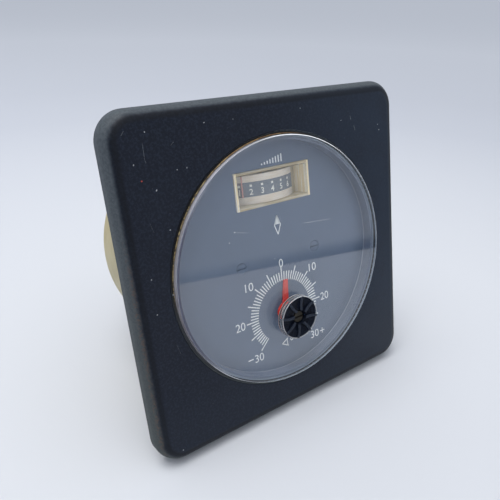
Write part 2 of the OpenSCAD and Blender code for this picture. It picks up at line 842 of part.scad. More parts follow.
// Dish behind the dial that carries meter, potentiometer and board
module carrier() {
    color("slategray") difference() {
        union() {
            rod(bore_r - slip, floor_y, carrier_rear_y);
            ring(bore_r - slip, bore_r - slip - carrier_rim_w, dial_rear_y, floor_y);
            at(0, dial_screw_z) pair(dial_screw_x) rod(carrier_boss_r, dial_rear_y, floor_y);
        }
        at(0, window_z) plate(floor_y - cut, carrier_rear_y + cut)
            square([window_w, window_h], center = true);
        at(0, knob_z) rod(bush_r + slip, floor_y - cut, carrier_rear_y + cut);
        at(0, dial_screw_z) pair(dial_screw_x) rod(dial_screw_r, dial_rear_y - cut, floor_y);
        for (z = pillar_zs) at(0, z) pair(pillar_x)
            rod(pillar_thread_r + screw_gap, floor_y - cut, carrier_rear_y + cut);
        at(0, meter_z) pair(meter_w / 2 + ear_w / 2)
            rod(meter_screw_r, floor_y - cut, carrier_rear_y + cut);
    }
}

// Clear body of the setting knob, a thin cup whose rim holds the insert
module knob_body() {
    color(clear) at(0, knob_z) difference() {
        turned() union() {
            translate([0, knob_front_y + knob_edge_r]) square([knob_r, knob_h - 2 * knob_edge_r]);
            translate([0, knob_front_y]) square([knob_r - knob_edge_r, knob_h]);
            for (y = [knob_front_y + knob_edge_r, knob_rear_y - knob_edge_r])
                translate([knob_r - knob_edge_r, y]) circle(knob_edge_r);
        }
        rod(insert_r + slip / 2, knob_front_y - cut, insert_ledge_y);
        rod(knob_r - knob_wall, knob_front_y, insert_rear_y);
        rod(spindle_front_r, knob_front_y, knob_rear_y + cut);
    }
}

// Outline of one bowed vane up to a radius
module vane(end_r) {
    intersection() {
        translate([(eye_r + vane_end_r) / 2, -vane_bow_r]) difference() {
            circle(vane_bow_r + vane_w / 2);
            circle(vane_bow_r - vane_w / 2);
        }
        difference() {
            circle(end_r);
            circle(vane_start_r);
        }
        translate([0, -end_r / 2]) square([end_r + cut, end_r]);
    }
}

// Black insert with a dished face, finger vanes and a sunken eye whose stem stands on the floor
module knob_insert() {
    front_y = knob_front_y - vane_proud;
    hole_r = knob_screw_r + screw_gap;
    color("black") at(0, knob_z) union() {
        turned() polygon([
            [hole_r, insert_floor_y], [eye_r, insert_floor_y], [eye_r, insert_dish_y],
            [insert_r - insert_rim_w, insert_rim_y], [insert_r, insert_rim_y],
            [insert_r, insert_ledge_y], [insert_stem_r, insert_ledge_y],
            [insert_stem_r, insert_rear_y], [hole_r, insert_rear_y],
        ]);
        for (i = [0:vane_count - 1]) rotate([0, i * 360 / vane_count + vane_turn, 0]) {
            plate(front_y, vane_foot_y) vane(insert_r - insert_rim_w / 2);
            plate(front_y, knob_front_y) vane(vane_end_r);
        }
    }
}

module knob_screw() {
    head_y = insert_floor_y - knob_screw_head_t;
    color(steel) at(0, knob_z) difference() {
        union() {
            rod(knob_screw_head_r, head_y, insert_floor_y);
            rod(knob_screw_r, head_y, insert_rear_y + knob_screw_len);
        }
        driver_slot(knob_screw_head_r, head_y - cut, head_y + screw_slot_depth);
    }
}

// Red pointer between lens and dial
module pointer() {
    boss_y = pointer_y - pointer_boss_h;
    color(pointer_red) at(0, knob_z) rotate([0, pointer_rest, 0]) difference() {
        union() {
            rod(pointer_hub_r, pointer_y, pointer_rear_y);
            rod(pointer_boss_r, boss_y, pointer_y + bond);
            plate(pointer_y, pointer_rear_y) polygon([
                [-pointer_root_w / 2, 0], [pointer_root_w / 2, 0],
                [pointer_tip_w / 2, pointer_tip_r], [-pointer_tip_w / 2, pointer_tip_r],
            ]);
        }
        rod(spindle_front_r, boss_y - cut, pointer_rear_y + cut);
    }
}

// Spindle with a shoulder that the pointer rests on
module spindle() {
    color(steel) at(0, knob_z) difference() {
        union() {
            rod(spindle_front_r, insert_rear_y, pointer_rear_y + cut);
            rod(spindle_r, pointer_rear_y, spindle_rear_y);
        }
        rod(knob_screw_r, insert_rear_y - cut, insert_rear_y + knob_screw_len);
    }
}

// Slots of the three terminals
module lugs(gap) {
    for (x = [-lug_pitch, 0, lug_pitch])
        at(x, 0) plate(track_front_y - gap, track_front_y + lug_t + gap)
            translate([-lug_w / 2 - gap, -pot_r - lug_len])
                square([lug_w + 2 * gap, pot_r + lug_len - track_r - 0.6]);
}

module pot_base() {
    color(phenolic) at(0, knob_z) difference() {
        rod(pot_r, pot_front_y, pot_split_y);
        rod(pot_pocket_r, pot_pocket_y, pot_split_y + cut);
        rod(bush_r, pot_front_y - cut, pot_split_y);
        lugs(slot_gap);
    }
}

module pot_cover() {
    color(steel) at(0, knob_z) difference() {
        rod(pot_r, pot_split_y, pot_rear_y);
        rod(pot_r - pot_cover_wall, pot_split_y - cut, pot_rear_y - pot_cover_wall);
    }
}

module pot_bush() {
    flange_rear_y = pot_pocket_y + bush_flange_t;
    color(brass) at(0, knob_z) difference() {
        union() {
            rod(bush_r, bush_front_y, flange_rear_y);
            rod(bush_flange_r, pot_pocket_y, flange_rear_y);
        }
        rod(spindle_r + run_gap, bush_front_y - cut, flange_rear_y + cut);
    }
}

module pot_washer() {
    color(steel) at(0, knob_z) ring(pot_washer_r, bush_r, floor_y - pot_washer_t, floor_y);
}

module pot_nut() {
    rear_y = floor_y - pot_washer_t;
    color(steel) at(0, knob_z) difference() {
        hexagon(pot_nut_w, rear_y - pot_nut_t, rear_y);
        rod(bush_r, rear_y - pot_nut_t - cut, rear_y + cut);
    }
}

module pot_track() {
    reach = 2 * pot_r;
    color("dimgray") at(0, knob_z) plate(pot_pocket_y, track_front_y) difference() {
        circle(track_r + track_w / 2);
        circle(track_r - track_w / 2);
        polygon([[0, 0], [-reach * sin(track_gap_angle), -reach * cos(track_gap_angle)],
            [reach * sin(track_gap_angle), -reach * cos(track_gap_angle)]]);
    }
}

module pot_wiper() {
    disc_y = wiper_arm_y + wiper_arm_t;
    color(brass) at(0, knob_z) rotate([0, pointer_rest, 0]) difference() {
        union() {
            rod(wiper_disc_r, disc_y, disc_y + wiper_disc_t);
            plate(wiper_arm_y, disc_y) translate([-wiper_arm_w / 2, 0])
                square([wiper_arm_w, track_r + 1]);
            at(0, track_r) rod(wiper_arm_w / 2 - 0.2, wiper_arm_y - wiper_contact_h, disc_y);
        }
        rod(spindle_r, wiper_arm_y - cut, disc_y + wiper_disc_t + cut);
    }
}

module pot_terminals() {
    color(steel) at(0, knob_z) lugs(0);
}

// Clear cap of the meter, which fills the cut-out in the dial
module meter_window() {
    color(amber_clear) difference() {
        union() {
            at(0, window_z) plate(cap_front_y, meter_front_y) square([cap_w, cap_h], center = true);
            at(0, meter_z) plate(carrier_rear_y, meter_front_y)
                square([meter_w, meter_h], center = true);
        }
        at(0, window_z) plate(cap_front_y + cap_front_t, meter_front_y + cut)
            square([cap_w - 2 * cap_wall, cap_h - 2 * cap_wall], center = true);
    }
}

module meter_case() {
    color(cream) at(0, meter_z) difference() {
        union() {
            plate(meter_front_y, meter_end_y) square([meter_w, meter_h], center = true);
            plate(carrier_rear_y, carrier_rear_y + ear_t) difference() {
                square([meter_w + 2 * ear_w, ear_h], center = true);
                square([meter_w, ear_h + cut], center = true);
            }
        }
        plate(meter_front_y - cut, meter_rear_y)
            square([meter_w - 2 * meter_wall, meter_h - 2 * meter_wall], center = true);
        pair(meter_w / 2 + ear_w / 2) rod(meter_screw_r + screw_gap, 0, carrier_rear_y + ear_t + cut);
    }
}

// Moves pieces to the upright axis of the meter
module on_meter_axis() {
    translate([0, meter_axis_y, 0]) children();
}

// Sector seen from above, from one angle to another each side of straight ahead
module sector(left, right) {
    reach = 2 * scale_r;
    polygon([[0, 0], [-reach * sin(left), -reach * cos(left)],
        [reach * sin(right), -reach * cos(right)]]);
}

// Curved cream scale with a foot at each end
module meter_scale() {
    foot_in = (scale_r - scale_t) * sin(scale_half_angle);
    color(cream) translate([0, 0, scale_bottom_z]) linear_extrude(scale_h) union() {
        translate([0, meter_axis_y]) intersection() {
            difference() {
                circle(scale_r);
                circle(scale_r - scale_t);
            }
            sector(scale_half_angle, scale_half_angle);
        }
        for (x = [foot_in - bond, -meter_in_half])
            translate([x, meter_front_y]) square([meter_in_half - foot_in + bond, scale_t]);
    }
}

module scale_strip() {
    color(dial_grey) translate([0, meter_axis_y, strip_z]) linear_extrude(strip_h)
        intersection() {
            difference() {
                circle(scale_r + strip_t);
                circle(scale_r);
            }
            sector(strip_left, strip_right);
        }
}

// Red needle that hangs in front of the scale from an arm, with its balance weights
module meter_needle() {
    tail_r = 5.4;
    weight_r = 0.8;
    color(pointer_red) on_meter_axis() rotate([0, 0, needle_rest]) difference() {
        union() {
            translate([0, 0, arm_z]) linear_extrude(arm_t) polygon([
                [-0.9, 0], [0.9, 0], [needle_w / 2, -needle_out_r], [-needle_w / 2, -needle_out_r],
            ]);
            translate([-needle_w / 2, -needle_out_r, arm_z + arm_t - needle_drop])
                cube([needle_w, needle_t, needle_drop]);
            translate([0, 0, arm_z]) cylinder(h = arm_t, r = hub_r);
            for (side = [-1, 1]) rotate([0, 0, side * 35]) {
                translate([-0.35, 0, arm_z]) cube([0.7, tail_r, arm_t]);
                translate([0, tail_r, arm_z]) cylinder(h = 2 * arm_t, r = weight_r);
            }
        }
        translate([0, 0, arm_z - cut]) cylinder(h = 3 * cut, r = staff_r);
    }
}

// One half of the staff, standing on the end of the coil
module half_staff() {
    straight = hub_t + staff_lift;
    cylinder(h = hub_t, r = hub_r);
    cylinder(h = straight, r = staff_r);
    translate([0, 0, straight - collet_r]) cylinder(h = 0.8, r = collet_r);
    translate([0, 0, straight]) cylinder(h = tip_len, r1 = staff_r, r2 = tip_r);
}

module meter_staff() {
    color(steel) on_meter_axis() {
        translate([0, 0, coil_top_z]) half_staff();
        translate([0, 0, coil_bottom_z]) mirror([0, 0, 1]) half_staff();
    }
}

// Upright loop round the core, between an inner and an outer half width
module loop(inner, outer, inner_lift, outer_lift, width) {
    rotate([90, 0, 0]) linear_extrude(width, center = true) difference() {
        translate([-outer, coil_bottom_z - outer_lift])
            square([2 * outer, coil_top_z - coil_bottom_z + 2 * outer_lift]);
        translate([-inner, coil_bottom_z - inner_lift])
            square([2 * inner, coil_top_z - coil_bottom_z + 2 * inner_lift]);
    }
}

module coil_former() {
    color("silver") on_meter_axis() rotate([0, 0, coil_angle])
        loop(coil_inner_half, coil_inner_half + former_t, -coil_t, former_t - coil_t, coil_w);
}

module coil_winding() {
    color(copper) on_meter_axis() rotate([0, 0, coil_angle])
        loop(coil_inner_half + former_t, coil_half, former_t - coil_t, 0, coil_w);
}

module core_magnet() {
    color("dimgray") on_meter_axis() translate([0, 0, core_z]) cylinder(h = core_h, r = core_r);
}

module yoke_ring() {
    color("gray") on_meter_axis() translate([0, 0, core_z]) linear_extrude(core_h) difference() {
        circle(yoke_r);
        circle(yoke_in_r);
    }
}

// Bars over and under the core that hold it in the ring
module core_bars() {
    half = yoke_r - 0.2;
    color(brass) on_meter_axis()
        for (z = [core_z - bar_t, core_top_z])
            translate([-bar_w / 2, -half, z]) cube([bar_w, 2 * half, bar_t]);
}

// Bracket that holds the ring and both pivots
module movement_frame() {
    bottom = meter_in_bottom_z;
    top = meter_in_top_z;
    post_y = meter_axis_y + spring_r + spring_t;
    color(brass) difference() {
        union() {
            translate([-frame_plate_w / 2, frame_plate_y, bottom])
                cube([frame_plate_w, frame_plate_t, top - bottom]);
            for (span = [[bottom, bridge_bottom_z], [bridge_top_z, top]])
                translate([-bridge_w / 2, meter_axis_y - bridge_reach, span[0]])
                    cube([bridge_w, yoke_r + bridge_reach + bond, span[1] - span[0]]);
            translate([-yoke_web_w / 2, meter_axis_y + yoke_in_r, core_z])
                cube([yoke_web_w, yoke_wall + bond, core_h]);
            translate([-post_w / 2, post_y, bridge_bottom_z - bond])
                cube([post_w, post_w, spring_bottom_z + spring_h - bridge_bottom_z + bond]);
            translate([-post_w / 2, post_y, spring_top_z])
                cube([post_w, post_w, bridge_top_z + bond - spring_top_z]);
        }
        on_meter_axis() {
            translate([0, 0, core_z - cut]) cylinder(h = core_h + 2 * cut, r = yoke_r);
            translate([0, 0, bottom - cut]) cylinder(h = bridge_bottom_z - bottom + 2 * cut, r = jewel_r);
            translate([0, 0, bridge_top_z - cut]) cylinder(h = top - bridge_top_z + 2 * cut, r = jewel_r);
        }
    }
}

// Screw with a cup in its end for a pivot, of a given length
module jewel_screw(length) {
    difference() {
        cylinder(h = length, r = jewel_r);
        translate([0, 0, -0.01]) cylinder(h = cup_h, r1 = cup_r, r2 = tip_r + 0.1);
    }
}

module jewel_screws() {
    color("goldenrod") on_meter_axis() {
        translate([0, 0, jewel_top_z]) jewel_screw(meter_in_top_z - jewel_top_z);
        translate([0, 0, jewel_bottom_z]) mirror([0, 0, 1])
            jewel_screw(jewel_bottom_z - meter_in_bottom_z);
    }
}

module needle_stops() {
    color(brass) on_meter_axis()
        for (angle = [needle_left - stop_angle, needle_right + stop_angle])
            rotate([0, 0, angle]) translate([0, -stop_ring_r, core_top_z])
                cylinder(h = arm_z + arm_t + 0.3 - core_top_z, r = stop_r);
}

// Flat spiral ribbon from the collet out to the post behind the axis
module hairspring() {
    steps = round(spring_turns * spring_steps);
    grow = (spring_r - collet_r) / steps;
    turn = 360 / spring_steps;
    start = 90 - spring_turns * 360;
    side = [for (i = [0:steps]) let (r = collet_r + i * grow, a = start + i * turn)
        [r * cos(a), r * sin(a)]];
    back = [for (i = [steps:-1:0]) let (r = collet_r + i * grow + spring_t, a = start + i * turn)
        [r * cos(a), r * sin(a)]];
    color("silver") on_meter_axis() linear_extrude(spring_h) polygon(concat(side, back));
}

module hairspring_upper() {
    translate([0, 0, spring_top_z]) hairspring();
}

module hairspring_lower() {
    translate([0, 0, spring_bottom_z]) hairspring();
}

module meter_screws() {
    seat_y = carrier_rear_y + ear_t;
    end_y = seat_y + meter_screw_head_t;
    color(steel) at(0, meter_z) pair(meter_w / 2 + ear_w / 2) difference() {
        union() {
            rod(meter_screw_r, floor_y, seat_y);
            rod(meter_screw_head_r, seat_y, end_y);
        }
        driver_slot(meter_screw_head_r, end_y - screw_slot_depth, end_y + cut);
    }
}

module meter_terminals() {
    color(brass) at(0, meter_z) pair(meter_pin_x) {
        rod(2 * meter_pin_r + 0.4, meter_end_y, meter_end_y + meter_pin_r);
        rod(meter_pin_r, meter_end_y, meter_end_y + meter_pin_len);
    }
}

// Middle of tab number i
function tab_x(i) = (i - (tab_count - 1) / 2) * tab_pitch;

// Places children where each tab stands
module each_tab() {
    at(0, block_z) for (i = [0:tab_count - 1]) translate([tab_x(i), 0, 0]) children();
}

module circuit_board() {
    middle = (board_top + board_bottom) / 2;
    color(board_green) difference() {
        at(0, middle) plate(board_y, board_rear_y)
            square([board_w, board_top - board_bottom], center = true);
        for (z = pillar_zs) at(0, z) pair(pillar_x)
            rod(pillar_thread_r + screw_gap, board_y - cut, board_rear_y + cut);
        each_tab() plate(board_y - cut, board_rear_y + cut)
            square([tab_t + 2 * slot_gap, tab_w + 2 * slot_gap], center = true);
    }
}

// Hexagonal pillars from the carrier to the board, each with a threaded end
module board_pillars() {
    color(brass) for (z = pillar_zs) at(0, z) pair(pillar_x) difference() {
        union() {
            hexagon(pillar_w, carrier_rear_y, board_y);
            rod(pillar_thread_r, floor_y - pillar_nut_t, carrier_rear_y + cut);
        }
        rod(pillar_thread_r, board_y - pillar_thread_len, board_y + cut);
    }
}

module pillar_nuts() {
    color(brass) for (z = pillar_zs) at(0, z) pair(pillar_x) difference() {
        hexagon(pillar_w, floor_y - pillar_nut_t, floor_y);
        rod(pillar_thread_r, floor_y - pillar_nut_t - cut, floor_y + cut);
    }
}

module board_screws() {
    end_y = board_rear_y + board_screw_head_t;
    color(steel) for (z = pillar_zs) at(0, z) pair(pillar_x) difference() {
        union() {
            rod(pillar_thread_r, board_y - pillar_thread_len, board_rear_y);
            rod(board_screw_head_r, board_rear_y, end_y);
        }
        driver_slot(board_screw_head_r, end_y - screw_slot_depth, end_y + cut);
    }
}

// Ring of points round one point of a route that lies in a plane of one X
function wire_ring(x, route, i) =
    let (
        before = route[max(i - 1, 0)],
        after = route[min(i + 1, len(route) - 1)],
        square_on = i == 0 || i == len(route) - 1,
        d = square_on ? [1, 0] : (after - before) / norm(after - before)
    )
    [for (k = [0:wire_sides - 1]) let (a = k * 360 / wire_sides)
        [x + wire_r * cos(a), route[i][0] - wire_r * sin(a) * d[1],
            route[i][1] + wire_r * sin(a) * d[0]]];

// One wire as a closed tube along its route
module wire(x, route) {
    n = wire_sides;
    last = (len(route) - 1) * n;
    points = [for (i = [0:len(route) - 1]) each wire_ring(x, route, i)];
    sides = [for (i = [0:len(route) - 2], k = [0:n - 1])
        each [
            [i * n + k, i * n + (k + 1) % n, (i + 1) * n + k],
            [i * n + (k + 1) % n, (i + 1) * n + (k + 1) % n, (i + 1) * n + k],
        ]];
    start = [for (k = [1:n - 2]) [0, k + 1, k]];
    end = [for (k = [1:n - 2]) [last, last + k, last + k + 1]];
    polyhedron(points, concat(sides, start, end));
}

module wires() {
    color("firebrick") {
        for (side = [-1, 1]) wire(side * meter_pin_x, meter_wire);
        for (x = [-lug_pitch, 0, lug_pitch]) wire(x, pot_wire);
    }
}

module terminal_block() {
    color(black_plastic) difference() {
        at(0, block_z) union() {
            plate(back_wall_y, case_rear_y) square([block_spigot_w, block_spigot_h], center = true);
            plate(case_rear_y, case_rear_y + block_t) square([block_w, block_h], center = true);
            plate(case_rear_y, case_rear_y + block_ear_t)
                square([block_w + 2 * block_ear_w, block_ear_h], center = true);
        }
        each_tab() plate(back_wall_y - cut, case_rear_y + block_t + cut)
            square([tab_t + 2 * slot_gap, tab_w + 2 * slot_gap], center = true);
        at(0, block_z) pair(block_screw_x)
            rod(block_screw_r + screw_gap, case_rear_y - cut, case_rear_y + block_ear_t + cut);
    }
}

module terminal_tabs() {
    color(steel) each_tab() rotate([90, 0, 90]) linear_extrude(tab_t, center = true)
        tab_sketch(board_y - tab_solder, case_rear_y + block_t + tab_len, tab_w);
}

module block_screws() {
    seat_y = case_rear_y + block_ear_t;
    end_y = seat_y + block_screw_head_t;
    color(steel) at(0, block_z) pair(block_screw_x) difference() {
        union() {
            rod(block_screw_r, back_wall_y - block_screw_reach, seat_y);
            rod(block_screw_head_r, seat_y, end_y);
        }
        driver_slot(block_screw_head_r, end_y - 2 * screw_slot_depth, end_y + cut);
    }
}

// Studs for a clamping bracket, held in the rear wall by a flange and a nut
module rear_studs() {
    color(steel) pair(stud_pitch / 2) {
        rod(stud_flange_r, back_wall_y - stud_flange_t, back_wall_y);
        rod(stud_neck_r, back_wall_y - bond, stud_neck_y);
        rod(stud_r, stud_neck_y - bond, stud_neck_y + stud_len);
    }
}

module stud_nuts() {
    color(brass) pair(stud_pitch / 2) difference() {
        hexagon(stud_nut_w, case_rear_y, case_rear_y + stud_nut_t);
        rod(stud_neck_r, case_rear_y - cut, case_rear_y + stud_nut_t + cut);
    }
}

module lamp_holder() {
    head_y = case_rear_y + lamp_head_t;
    color(black_plastic) at(0, lamp_z) union() {
        rod(lamp_r, lamp_front_y, case_rear_y + bond);
        rod(lamp_head_r, case_rear_y, head_y);
        plate(head_y - bond, head_y + lamp_grip_h)
            square([lamp_grip_w, lamp_grip_t], center = true);
    }
}

module lamp_terminals() {
    head_y = case_rear_y + lamp_head_t;
    color(steel) for (side = [-1, 1]) at(0, lamp_z + side * lamp_tab_z)
        rotate([0, 0, 90]) linear_extrude(tab_t, center = true)
            tab_sketch(head_y, head_y + lamp_tab_len, lamp_tab_w);
}

module lamp_bulb() {
    dome_y = lamp_front_y - bulb_len + bulb_r;
    color("lightyellow") at(0, lamp_z) union() {
        rod(bulb_r, dome_y, lamp_front_y);
        translate([0, dome_y, 0]) sphere(bulb_r);
    }
}

front_frame();
panel_gasket();
lens();
lens_seal();
lens_bush();
inner_ring();
case_can();
dial_plate();
dial_marks();
dial_screws();
carrier();
knob_body();
knob_insert();
knob_screw();
pointer();
spindle();
pot_base();
pot_cover();
pot_bush();
pot_washer();
pot_nut();
pot_track();
pot_wiper();
pot_terminals();
meter_window();
meter_case();
meter_scale();
scale_strip();
meter_needle();
meter_staff();
coil_former();
coil_winding();
core_magnet();
yoke_ring();
core_bars();
movement_frame();
jewel_screws();
needle_stops();
hairspring_upper();
hairspring_lower();
meter_screws();
meter_terminals();
circuit_board();
board_pillars();
pillar_nuts();
board_screws();
wires();
terminal_block();
terminal_tabs();
block_screws();
rear_studs();
stud_nuts();
lamp_holder();
lamp_terminals();
lamp_bulb();
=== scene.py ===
# %% [markdown]
# A panel instrument for setting declination: a square black frame with a round clear lens in it,
# a grey dial behind the lens, a small edgewise meter in a window, and a knob that turns a red
# pointer over a printed scale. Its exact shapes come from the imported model, as CAD nodes.
# This lesson gives each of them its finish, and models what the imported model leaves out:
# figures, printed signs, threads, worn compound, dust and scratches.
# Everything is in metres, with X to the right, Y into the panel and Z up.

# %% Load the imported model
import math

import bmesh
import bpy
from mathutils import Matrix, Vector, noise


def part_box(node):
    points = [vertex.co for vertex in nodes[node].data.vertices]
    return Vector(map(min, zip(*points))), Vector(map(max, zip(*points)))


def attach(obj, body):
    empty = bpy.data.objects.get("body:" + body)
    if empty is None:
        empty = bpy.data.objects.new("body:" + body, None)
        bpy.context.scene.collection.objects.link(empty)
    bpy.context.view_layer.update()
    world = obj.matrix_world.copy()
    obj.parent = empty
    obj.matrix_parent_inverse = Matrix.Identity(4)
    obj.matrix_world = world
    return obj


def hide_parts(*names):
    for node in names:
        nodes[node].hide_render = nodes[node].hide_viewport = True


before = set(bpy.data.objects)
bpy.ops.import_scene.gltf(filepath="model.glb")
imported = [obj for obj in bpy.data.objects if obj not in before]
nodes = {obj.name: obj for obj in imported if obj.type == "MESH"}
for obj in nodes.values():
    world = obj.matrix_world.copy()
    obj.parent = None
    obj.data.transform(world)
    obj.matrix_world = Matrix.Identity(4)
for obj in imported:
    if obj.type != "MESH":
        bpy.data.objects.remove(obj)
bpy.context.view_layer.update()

MM = 0.001

# %% [markdown]
# The instrument stands on the lower edge of its frame and on the rear rim of its can, so it leans
# back. The model keeps its own upright axes, so here the floor leans instead: it passes through
# the frame's lower rear edge and rises towards the rear.

# %% Where the floor lies
LEAN = math.radians(13.4)
FLOOR_POINT = Vector((0, 0, -55 * MM))
UPRIGHT = Vector((0, -math.sin(LEAN), math.cos(LEAN)))
print("floor leans by", round(math.degrees(LEAN), 1), "degrees")

# %% [markdown]
# The camera stands to the left of the instrument and above it, at arm's length. Its place and
# direction were found by fitting the frame's corners and the lens's outline.

# %% Camera
CAMERA_AT = Vector((-96.66, -135.30, 55.23)) * MM
CAMERA_BACK = Vector((-0.51633, -0.80358, 0.29607)).normalized()
CAMERA_RIGHT = Vector((0.81907, -0.56432, -0.10326)).normalized()
CAMERA_UP = CAMERA_BACK.cross(CAMERA_RIGHT).normalized()
SENSOR = 36.0
PICTURE_SIDE = 500
FOCAL_PIXELS = 502.82

camera_data = bpy.data.cameras.new("camera")
camera_data.sensor_width = SENSOR
camera_data.lens = FOCAL_PIXELS / PICTURE_SIDE * SENSOR
camera_data.clip_start = 0.01
camera = bpy.data.objects.new("camera", camera_data)
bpy.context.scene.collection.objects.link(camera)
axes = Matrix((CAMERA_RIGHT, CAMERA_UP, CAMERA_BACK)).transposed()
camera.matrix_world = Matrix.Translation(CAMERA_AT) @ axes.to_4x4()
bpy.context.scene.camera = camera
print("lens", round(camera_data.lens, 2), "mm")


# %% [markdown]
# Colours are written as they look on a screen, such as #272e37, because that is how a picture
# shows them. The shaders count in linear light, so each code is turned into linear values once.

# %% Colours
def paint(code):
    """A linear colour from a code such as #272e37."""
    shares = [int(code[i:i + 2], 16) / 255 for i in (1, 3, 5)]
    linear = [s / 12.92 if s <= 0.04045 else ((s + 0.055) / 1.055) ** 2.4 for s in shares]
    return (*linear, 1.0)


print("middle grey in linear light:", round(paint("#808080")[0], 3))


# %% [markdown]
# A material is a small calculation for each point of a surface. Written node by node it is hard
# to read, so a socket is wrapped in a class that understands +, -, *, /, ** and <. An expression
# such as 1 - mask then adds the Math nodes that it needs. Any other node comes from one method,
# which takes the node's kind, its settings and what its sockets get.

# %% Sockets as values
class Socket:
    """One output of a node, which can be used in sums."""

    def __init__(self, finish, socket):
        self.finish, self.socket = finish, socket

    def maths(self, operation, *others):
        sockets = dict(enumerate((self, *others)))
        return self.finish.node("Math", {"operation": operation}, sockets)

    def __add__(self, other):
        return self.maths("ADD", other)

    def __radd__(self, other):
        return self.maths("ADD", other)

    def __sub__(self, other):
        return self.maths("SUBTRACT", other)

    def __rsub__(self, other):
        return (self * -1.0) + other

    def __mul__(self, other):
        return self.maths("MULTIPLY", other)

    def __rmul__(self, other):
        return self.maths("MULTIPLY", other)

    def __truediv__(self, other):
        return self.maths("DIVIDE", other)

    def __pow__(self, other):
        return self.maths("POWER", other)

    def __lt__(self, other):
        return self.maths("LESS_THAN", other)

    def __abs__(self):
        return self.maths("ABSOLUTE")

    def most(self, other):
        return self.maths("MAXIMUM", other)

    def between(self, low, high):
        """0 below low, 1 above high and smooth in between."""
        settings = {"interpolation_type": "SMOOTHSTEP", "data_type": "FLOAT"}
        return self.finish.node("MapRange", settings, {"Value": self, "From Min": low, "From Max": high})

    def past(self, low, high):
        """The same, for a place on the part with low and high in millimetres."""
        return self.between(low * MM, high * MM)

    def part(self, axis):
        """One coordinate of a vector: 0 for X, 1 for Y and 2 for Z."""
        return self.finish.node("SeparateXYZ", {}, {"Vector": self}, axis)


class Finish:
    """One material, built from nodes."""

    def __init__(self, name, colour, roughness, **constants):
        self.material = bpy.data.materials.new(name)
        self.material.use_nodes = True
        self.tree = self.material.node_tree
        made = {node.type: node for node in self.tree.nodes}
        self.shader, self.output = made["BSDF_PRINCIPLED"], made["OUTPUT_MATERIAL"]
        self.shader.inputs["Base Color"].default_value = paint(colour)
        self.shader.inputs["Roughness"].default_value = roughness
        for key, value in constants.items():
            label = key.replace("_", " ").title().replace("Ior", "IOR")
            self.shader.inputs[label].default_value = value

    def node(self, kind, settings=None, sockets=None, out=0):
        """Adds a node of a kind, makes its settings, then fills its sockets."""
        made = self.tree.nodes.new("ShaderNode" + kind)
        for key, value in (settings or {}).items():
            if key == "stops":
                self.set_stops(made.color_ramp.elements, value)
            else:
                setattr(made, key, value)
        for key, value in (sockets or {}).items():
            self.plug(made, key, value)
        return Socket(self, made.outputs[out])

    def set_stops(self, elements, stops):
        """Gives a colour ramp these places and colours only."""
        for spare in list(elements)[1:]:
            elements.remove(spare)
        for place, colour in stops:
            elements.new(place).color = paint(colour)
        elements.remove(elements[0])

    def shader_out(self):
        return Socket(self, self.shader.outputs[0])

    def plug(self, made, key, value):
        """Links a socket to a value, or sets it."""
        if isinstance(key, int):
            target = made.inputs[key]
        else:
            named = [socket for socket in made.inputs if socket.identifier == key]
            target = named[0] if named else made.inputs[key]
        if isinstance(value, Socket):
            self.tree.links.new(value.socket, target)
        elif isinstance(value, str):
            target.default_value = paint(value)
        else:
            target.default_value = value

    def set(self, **links):
        """Feeds sockets of the main shader: colour, roughness or normal."""
        names = {"colour": "Base Color", "roughness": "Roughness", "normal": "Normal"}
        for key, value in links.items():
            self.plug(self.shader, names[key], value)

    def place(self, stretch=None):
        """Object coordinates in metres, stretched where a pattern runs in one direction."""
        spot = self.node("TexCoord", {}, {}, 3)
        if not stretch:
            return spot
        return self.node("Mapping", {"vector_type": "POINT"}, {"Vector": spot, "Scale": stretch})

    def cloud(self, size, detail=3.0, spot=None, rough=0.5):
        """Soft noise from 0 to 1 whose lumps are about this size in millimetres."""
        sockets = {"Vector": spot or self.place(), "Scale": 1 / (size * MM), "Detail": detail,
                   "Roughness": rough}
        return self.node("TexNoise", {"noise_dimensions": "3D"}, sockets)

    def specks(self, pitch, radius, share):
        """1 in small round spots, which a share of the cells hold."""
        cells = {"Vector": self.place(), "Scale": 1 / (pitch * MM), "Randomness": 1.0}
        near = self.node("TexVoronoi", {"feature": "F1"}, cells, 0)
        tone = self.node("TexVoronoi", {"feature": "F1"}, cells, 1).part(0)
        return (near * pitch).between(radius, radius * 0.6) * (tone < share)

    def mix(self, share, low, high):
        """A colour from low, where share is 0, to high, where it is 1."""
        settings = {"data_type": "RGBA", "clamp_factor": True}
        sockets = {"Factor_Float": share, "A_Color": low, "B_Color": high}
        return self.node("Mix", settings, sockets, 2)

    def bump(self, height, depth, strength=1.0):
        """A normal from a height from 0 to 1 that stands for so many millimetres."""
        sockets = {"Height": height, "Distance": depth * MM, "Strength": strength}
        return self.node("Bump", {}, sockets)


# %% [markdown]
# Modelling works as by hand: select nothing, add a primitive, shape it in edit mode, add modifiers
# and apply them. These helpers keep the selection clean between the steps, because an operator
# works on all that is selected.

# %% Modelling helpers
def nothing_selected():
    """Leaves edit mode and deselects everything."""
    if bpy.context.object and bpy.context.object.mode != "OBJECT":
        bpy.ops.object.mode_set(mode="OBJECT")
    bpy.ops.object.select_all(action="DESELECT")


def only(piece):
    """Selects one piece and makes it the active one."""
    nothing_selected()
    piece.select_set(True)
    bpy.context.view_layer.objects.active = piece


def settled(piece):
    """Writes the piece's place, turn and scale into its mesh."""
    only(piece)
    bpy.ops.object.transform_apply(location=True, rotation=True, scale=True)
    return piece


def apply_modifier(piece, kind, **settings):
    """Adds a modifier with its settings and writes it into the mesh."""
    only(piece)
    modifier = piece.modifiers.new(kind.lower(), kind)
    for key, value in settings.items():
        setattr(modifier, key, value)
    bpy.ops.object.modifier_apply(modifier=modifier.name)


